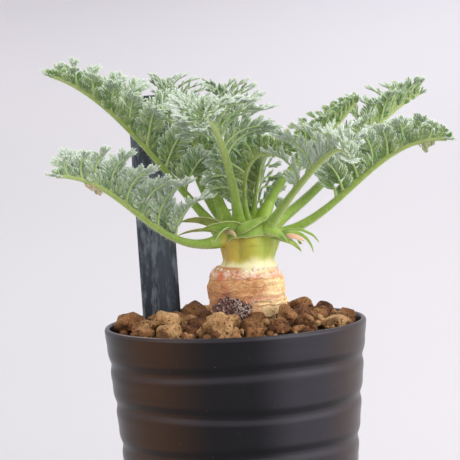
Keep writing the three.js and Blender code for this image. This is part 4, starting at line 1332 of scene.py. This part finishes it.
def make_collar(body):
    """The thin sheath round the neck's top, open below, with a wavy margin."""
    azimuths = np.arange(COLLAR_SIDES) * 360 / COLLAR_SIDES
    margin = np.interp(azimuths, *zip(*COLLAR_MARGIN))
    out = level_way(np.radians(azimuths))
    wave = noise(out * 11.5, 3.4, 91, 3) + 0.5 * noise(out * 11.5, 1.2, 92, 2)
    rings, edges = [], []
    for thick, sections in enumerate([COLLAR_SECTIONS[::-1], COLLAR_SECTIONS]):
        for share, radius in sections:
            loose = 1 - min(1, share)
            tuck = COLLAR_TUCK * loose * smooth_step(75, 35, np.abs(azimuths - COLLAR_TUCK_DEG))
            inset = COLLAR_THICKNESS * thick * (1 - 0.6 * (share == 0))
            reach = radius - tuck - inset + COLLAR_WAVE * wave * loose
            rise = share * (COLLAR_HEIGHT - 0.25 * (margin - 114))
            height = margin + rise + 0.55 * np.roll(wave, 9) * loose
            rings.append(out * reach[:, None] + np.outer(height, UP) + [COLLAR_X, 0, 0])
            edges.append(np.full(COLLAR_SIDES, 1 - min(1, share * 2.2)))
    faces = ring_faces(len(rings), COLLAR_SIDES, closed=True)
    body.add(np.concatenate(rings), [faces], np.concatenate(edges))


def add_plate(body, grid, normal, lift, half_thick, edge, tone=0.0):
    """A thin closed plate about a grid of points raised by lift, with a normal for each row of it."""
    rows, columns = grid.shape[:2]
    grid = grid + normal[:, None] * lift[..., None]
    thin = normal[:, None] * half_thick[..., None]
    count = rows * columns
    k, i = np.meshgrid(np.arange(rows - 1), np.arange(columns - 1), indexing="ij")
    a = k * columns + i
    faces = np.stack([a, a + 1, a + columns + 1, a + columns], axis=-1).reshape(-1, 4)
    rim = np.concatenate([
        np.arange(columns - 1),
        np.arange(rows - 1) * columns + columns - 1,
        count - 1 - np.arange(columns - 1),
        (rows - 1 - np.arange(rows - 1)) * columns,
    ])
    following = np.roll(rim, -1)
    walls = np.stack([rim, following, following + count, rim + count], axis=-1)
    blocks = [faces[:, ::-1], faces + count, walls]
    body.add([grid + thin, grid - thin], blocks, np.tile(edge.ravel(), 2), tone)


STIPULE_ROWS = 22
STIPULE_COLUMNS = 15
STIPULE_HALF_THICK = 0.2


def stipule_plate(body, azimuth, length, width, low, high, seed):
    """A thin pointed flap that arches out from the crown, with a wavy margin."""
    turn = math.radians(azimuth)
    out, across = level_way(turn), level_way(turn + math.pi / 2)
    v = np.linspace(0, 1, STIPULE_ROWS)
    heading = turned_to(out, UP, np.radians(mix(low, high, v)))
    steps = heading * (length / (STIPULE_ROWS - 1))
    path = np.concatenate([np.zeros((1, 3)), np.cumsum((steps[1:] + steps[:-1]) / 2, axis=0)])
    path = path + [PLANT_X, 0, STIPULE_ROOT_Z] + out * STIPULE_ROOT_RADIUS
    half = width / 2 * np.sqrt(np.maximum(1 - v**2, 0)) * mix(0.95, 1.12, v)
    w = np.linspace(-1, 1, STIPULE_COLUMNS)
    grid = path[:, None] + across * (half[:, None] * w)[..., None]
    edge = np.tile(np.abs(w) ** 2, (STIPULE_ROWS, 1))
    wave = 0.45 * np.sin(7.0 * v * length / 6 + seed)[:, None] * edge * np.sign(w)
    wave = wave + 0.35 * noise(grid.reshape(-1, 3), 2.4, seed, 2).reshape(edge.shape) * edge - 0.25 * edge
    tip = np.maximum(v[:, None] ** 3, np.abs(w))
    add_plate(body, grid, np.cross(heading, across), wave, STIPULE_HALF_THICK * (1 - 0.7 * tip), tip)


# Loose flaps of the sheaths as they lie in the photograph: four control points, half width, the turns of
# their faces in degrees at the root and at the tip, how deeply they fold, and how dry they are
SHEATH_FLAPS = [
    ([[3, -9.5, 119.6], [-1.6, -12.2, 121], [-6, -12.4, 120.3], [-10.8, -10.2, 118.8]], 1.9, 62, 40, 0.35, 0),
    ([[-1.5, -9.6, 119.4], [-3.5, -12, 119.4], [-5.2, -12.9, 117.6], [-5.9, -12.4, 114.7]],
     1.9, 15, 15, 0.3, 0),
    ([[-2.5, -5, 119], [-7.5, -6, 122], [-12, -4.5, 123], [-17.2, -3.5, 121.3]], 2.2, 62, 35, 0.3, 0.2),
    ([[-5, -7, 117.5], [-9.5, -8, 119.6], [-13.5, -6.5, 118.6], [-18.3, -5, 116.8]], 0.8, 50, 40, 0.2, 0.25),
    ([[15, -4.6, 115.2], [22, -6.5, 118.2], [27, -6.5, 115], [27.7, -6, 109]], 0.75, 30, 70, 0.15, 0),
    ([[16, -3, 116], [24, -4, 118.6], [28.4, -4.5, 115.5], [29.9, -4, 112]], 0.7, 30, 60, 0.15, 0),
    ([[14, -7.6, 115], [18.5, -9.6, 115], [22, -9.5, 112.6], [23.6, -9, 109.6]], 1.1, 60, 70, 0.15, 0.1),
    ([[18.5, -8.2, 115.2], [21, -9.8, 115.6], [23.2, -9.6, 114.9], [25, -9, 113.2]], 1.0, 65, 45, 0.3, 1),
    ([[1.5, -9.5, 117.4], [4.5, -12.6, 119.2], [8.5, -12.2, 120.8], [12.6, -9.3, 122.2]],
     1.6, 75, 65, 0.2, 0),
    ([[10.8, -9, 118], [14.5, -11.8, 118], [17.5, -11.6, 116.2], [18.8, -10.2, 113]], 1.6, 60, 60, 0.4, 0),
    ([[-2, -9.6, 117.4], [-0.6, -11.6, 118.4], [0.8, -12, 117.6], [1.6, -11.9, 115.6]],
     0.9, 80, 70, 0.3, 0.6),
]
FLAP_ROWS = 26
FLAP_COLUMNS = 9
FLAP_HALF_THICK = 0.17
FLAP_SEED = 60


def sheath_flap(body, points, half_width, low, high, fold, dry, seed):
    v = np.linspace(0, 1, FLAP_ROWS)
    place, along, side, up = Midrib(points).at(v)
    across = turned_to(side, up, np.radians(mix(low, high, v)))
    half = half_width * np.minimum(1, 0.6 + 2 * v) * np.clip(1 - v**2.4, 0, 1) ** 0.8 + 0.05
    w = np.linspace(-1, 1, FLAP_COLUMNS)
    grid = place[:, None] + across[:, None] * (half[:, None] * w)[..., None]
    lift = 0.3 * noise(grid.reshape(-1, 3), 2.2, seed, 2).reshape(FLAP_ROWS, FLAP_COLUMNS) * np.abs(w)
    lift = lift - fold * half[:, None] * np.abs(w) ** 1.3
    edge = np.maximum(v[:, None] ** 4, np.abs(w))
    add_plate(body, grid, np.cross(along, across), lift, FLAP_HALF_THICK * (1 - 0.6 * edge), edge, dry)


def make_stipules():
    body = Body()
    for stipule in STIPULES:
        stipule_plate(body, *stipule)
    for index, flap in enumerate(SHEATH_FLAPS):
        sheath_flap(body, *flap, FLAP_SEED + index * 3)
    make_collar(body)
    place_piece("stipule_flaps", body, stipule_material(), "crown")


def place_scraps(name, material, turn, z, proud, ways, sizes, sections, face=1):
    """Strips that stand on the bark. ways are how much each heads sideways, up and outwards."""
    out = level_way(turn)
    base = out * (caudex_radius(z) + proud)[:, None] + np.outer(z, UP) + [PLANT_X, 0, 0]
    direction = unit(level_way(turn + math.pi / 2) * ways[0] + UP * ways[1] + out * ways[2])
    body = Body()
    add_strips(body, (base, direction, face * square_to(out, direction), *sizes), sections)
    place_piece(name, body, material)


FLAKE_COUNT = 34
FIBRE_COUNT = 110
FIBRE_AZIMUTH = math.radians(251)


def make_scraps():
    """Papery white remains that stand up round the rim of the caudex, and pale fibres over its dark patch."""
    n = FLAKE_COUNT
    place_scraps(
        "rim_flakes", scrap_material("bark_paper", (250, 244, 232), (232, 204, 168)),
        even_turns(n) + rng.uniform(-0.1, 0.1, n), rng.uniform(102.2, 104.3, n), -0.25,
        (rng.uniform(-0.9, 0.9, (n, 1)), 1.0, rng.uniform(-0.35, 0.25, (n, 1))),
        (rng.uniform(0.8, 1.7, n), rng.uniform(0.4, 1.1, n), 0.09, rng.uniform(-0.7, 0.5, n), 0.0),
        [(0.0, 1.0), (0.35, 0.95), (0.75, 0.6)],
    )
    n = FIBRE_COUNT
    spread = rng.normal(0, 1, (n, 2)) * [0.336, 1.725]
    tangle = rng.uniform(0, 2 * math.pi, (n, 1))
    place_scraps(
        "bark_fibres", scrap_material("bark_fibre", (236, 226, 218), (170, 140, 128)),
        FIBRE_AZIMUTH + spread[:, 0], np.clip(91.8 + spread[:, 1], 87, 95.4), 0.15,
        (np.cos(tangle), np.sin(tangle), 0.35),
        (rng.uniform(0.6, 2.0, n), 0.14, 0.11, rng.uniform(0.3, 1.3, n), rng.uniform(-0.8, 0.8, n)),
        [(0.0, 1.0), (0.35, 1.0), (0.75, 0.7)], face=-1,
    )


LABEL_CORNER = 1.2
LABEL_EDGE = 0.14


def make_label():
    """A blank slate-coloured strip with softened edges and a pointed foot."""
    levels = np.concatenate([
        LABEL_BOTTOM_Z + np.array([0, 4, 8, LABEL_POINT_LENGTH]),
        np.linspace(60, LABEL_TOP_Z - LABEL_CORNER, 50),
        LABEL_TOP_Z - np.array([0.7, 0.35, 0.1, 0]),
    ])
    point = np.clip((levels - LABEL_BOTTOM_Z) / LABEL_POINT_LENGTH, 0.02, 1)
    curve = np.clip((levels - LABEL_TOP_Z) / LABEL_CORNER + 1, 0, 1)
    widths = LABEL_WIDTH / 2 * point - LABEL_CORNER * (1 - np.sqrt(1 - curve**2))
    deep = LABEL_THICKNESS / 2 * np.where(levels > LABEL_TOP_Z - 0.2, 0.7, 1)
    # The section: over one face and back over the other, with two points at each edge
    row = np.linspace(-1, 1, 13)
    across = np.concatenate([row, [1, 1], row[::-1], [-1, -1]])
    through = np.concatenate([np.ones(13), [0.4, -0.4], -np.ones(13), [-0.4, 0.4]])
    inset = LABEL_EDGE * ((np.abs(through) == 1) & (np.abs(across) > 0.99))
    x = across * (widths[:, None] - inset)
    z = levels[:, None]
    points = np.stack([
        x * math.cos(LABEL_LEAN) - z * math.sin(LABEL_LEAN) + LABEL_PLACE[0],
        through * deep[:, None] + LABEL_PLACE[1],
        x * math.sin(LABEL_LEAN) + z * math.cos(LABEL_LEAN),
    ], axis=-1)
    body = Body()
    body.add(points, [block[:, ::-1] for block in capped_faces(len(levels), len(across))])
    place_piece("label_strip", body, label_material(), "plant_label")


STAGE_FLAT = 550
STAGE_CURVE = 1600
STAGE_RISE = 400
STAGE_SIDES = 128


def make_stage():
    """A round pale sweep: a flat floor that rises into a wall in one long curve on all sides."""
    turns = np.linspace(0, math.pi / 2, 40)
    curve = STAGE_FLAT + STAGE_CURVE * np.sin(turns)
    radii = np.concatenate([[1, 200, 400], curve, curve[-1:]])
    heights = np.concatenate([[0, 0, 0], STAGE_CURVE * (1 - np.cos(turns)), [STAGE_CURVE + STAGE_RISE]])
    body = Body()
    body.add(lathe_points(radii, heights, STAGE_SIDES), [ring_faces(len(radii), STAGE_SIDES)])
    sweep = new_object("studio_sweep", finish_mesh(body.mesh("studio_sweep"), stage_material()))


# Area lights: name, place, what each points at, width, height, power, colour
MIDDLE = (0.0, 0.0, 0.12)
LIGHTS = [
    ("key_window", (0.68, -0.6, 0.88), MIDDLE, 0.8, 0.8, 8.1, (1.0, 0.99, 0.97)),
    ("fill_left", (-0.9, -0.6, 0.6), MIDDLE, 0.8, 0.8, 3.5, (1.0, 0.98, 0.97)),
    ("low_strip", (0.95, -0.3, 0.34), (0.0, 0.0, 0.06), 0.9, 0.16, 3.4, (0.97, 0.98, 1.0)),
    ("back_glow", (-0.2, 0.9, 0.9), MIDDLE, 0.9, 0.6, 6.0, (1.0, 1.0, 1.0)),
]
AIR_COLOUR = (236, 234, 238)


def make_lights():
    world = bpy.data.worlds.new("studio_air")
    world.use_nodes = True
    world.node_tree.nodes["Background"].inputs["Color"].default_value = linear(AIR_COLOUR)
    world.node_tree.nodes["Background"].inputs["Strength"].default_value = 1.0
    bpy.context.scene.world = world
    for name, place, target, width, height, power, colour in LIGHTS:
        lamp = bpy.data.lights.new(name, "AREA")
        lamp.shape = "RECTANGLE"
        lamp.size = width
        lamp.size_y = height
        lamp.energy = power
        lamp.color = colour
        holder = new_object(name, lamp)
        holder.location = place
        way = Vector(target) - Vector(place)
        holder.rotation_euler = way.to_track_quat("-Z", "Y").to_euler()
        holder.visible_camera = False


FOCAL_PIXELS = 1800
FRAME_PIXELS = 460
SENSOR_MM = 36
CAMERA_Y_MM = -617.2456
CAMERA_Z_MM = 161.7882
PITCH = math.radians(-4.1013)
YAW = math.radians(-0.0342)
ROLL = math.radians(2.6)


def make_camera():
    camera = bpy.data.cameras.new("photo_camera")
    camera.sensor_width = SENSOR_MM
    camera.lens = SENSOR_MM * FOCAL_PIXELS / FRAME_PIXELS
    camera.clip_start = 0.01
    camera.clip_end = 20
    ahead = Vector((math.sin(YAW) * math.cos(PITCH), math.cos(YAW) * math.cos(PITCH), math.sin(PITCH)))
    right = ahead.cross(Vector((0, 0, 1))).normalized()
    up = right.cross(ahead)
    x_axis = math.cos(ROLL) * right - math.sin(ROLL) * up
    y_axis = math.sin(ROLL) * right + math.cos(ROLL) * up
    holder = new_object("photo_camera", camera)
    place = Vector((0, CAMERA_Y_MM * MM, CAMERA_Z_MM * MM))
    holder.matrix_world = Matrix([*zip(x_axis, y_axis, -ahead, place), (0, 0, 0, 1)])
    bpy.context.scene.camera = holder


bpy.context.scene.view_settings.view_transform = "Standard"
make_camera()
make_stage()
make_lights()
make_pot()
make_soil()
make_caudex()
make_scraps()
make_crown()
make_stipules()
make_label()
blade = leaf_material()
hair = hair_material()
for leaf in LEAVES:
    make_leaf(*leaf, blade, hair)
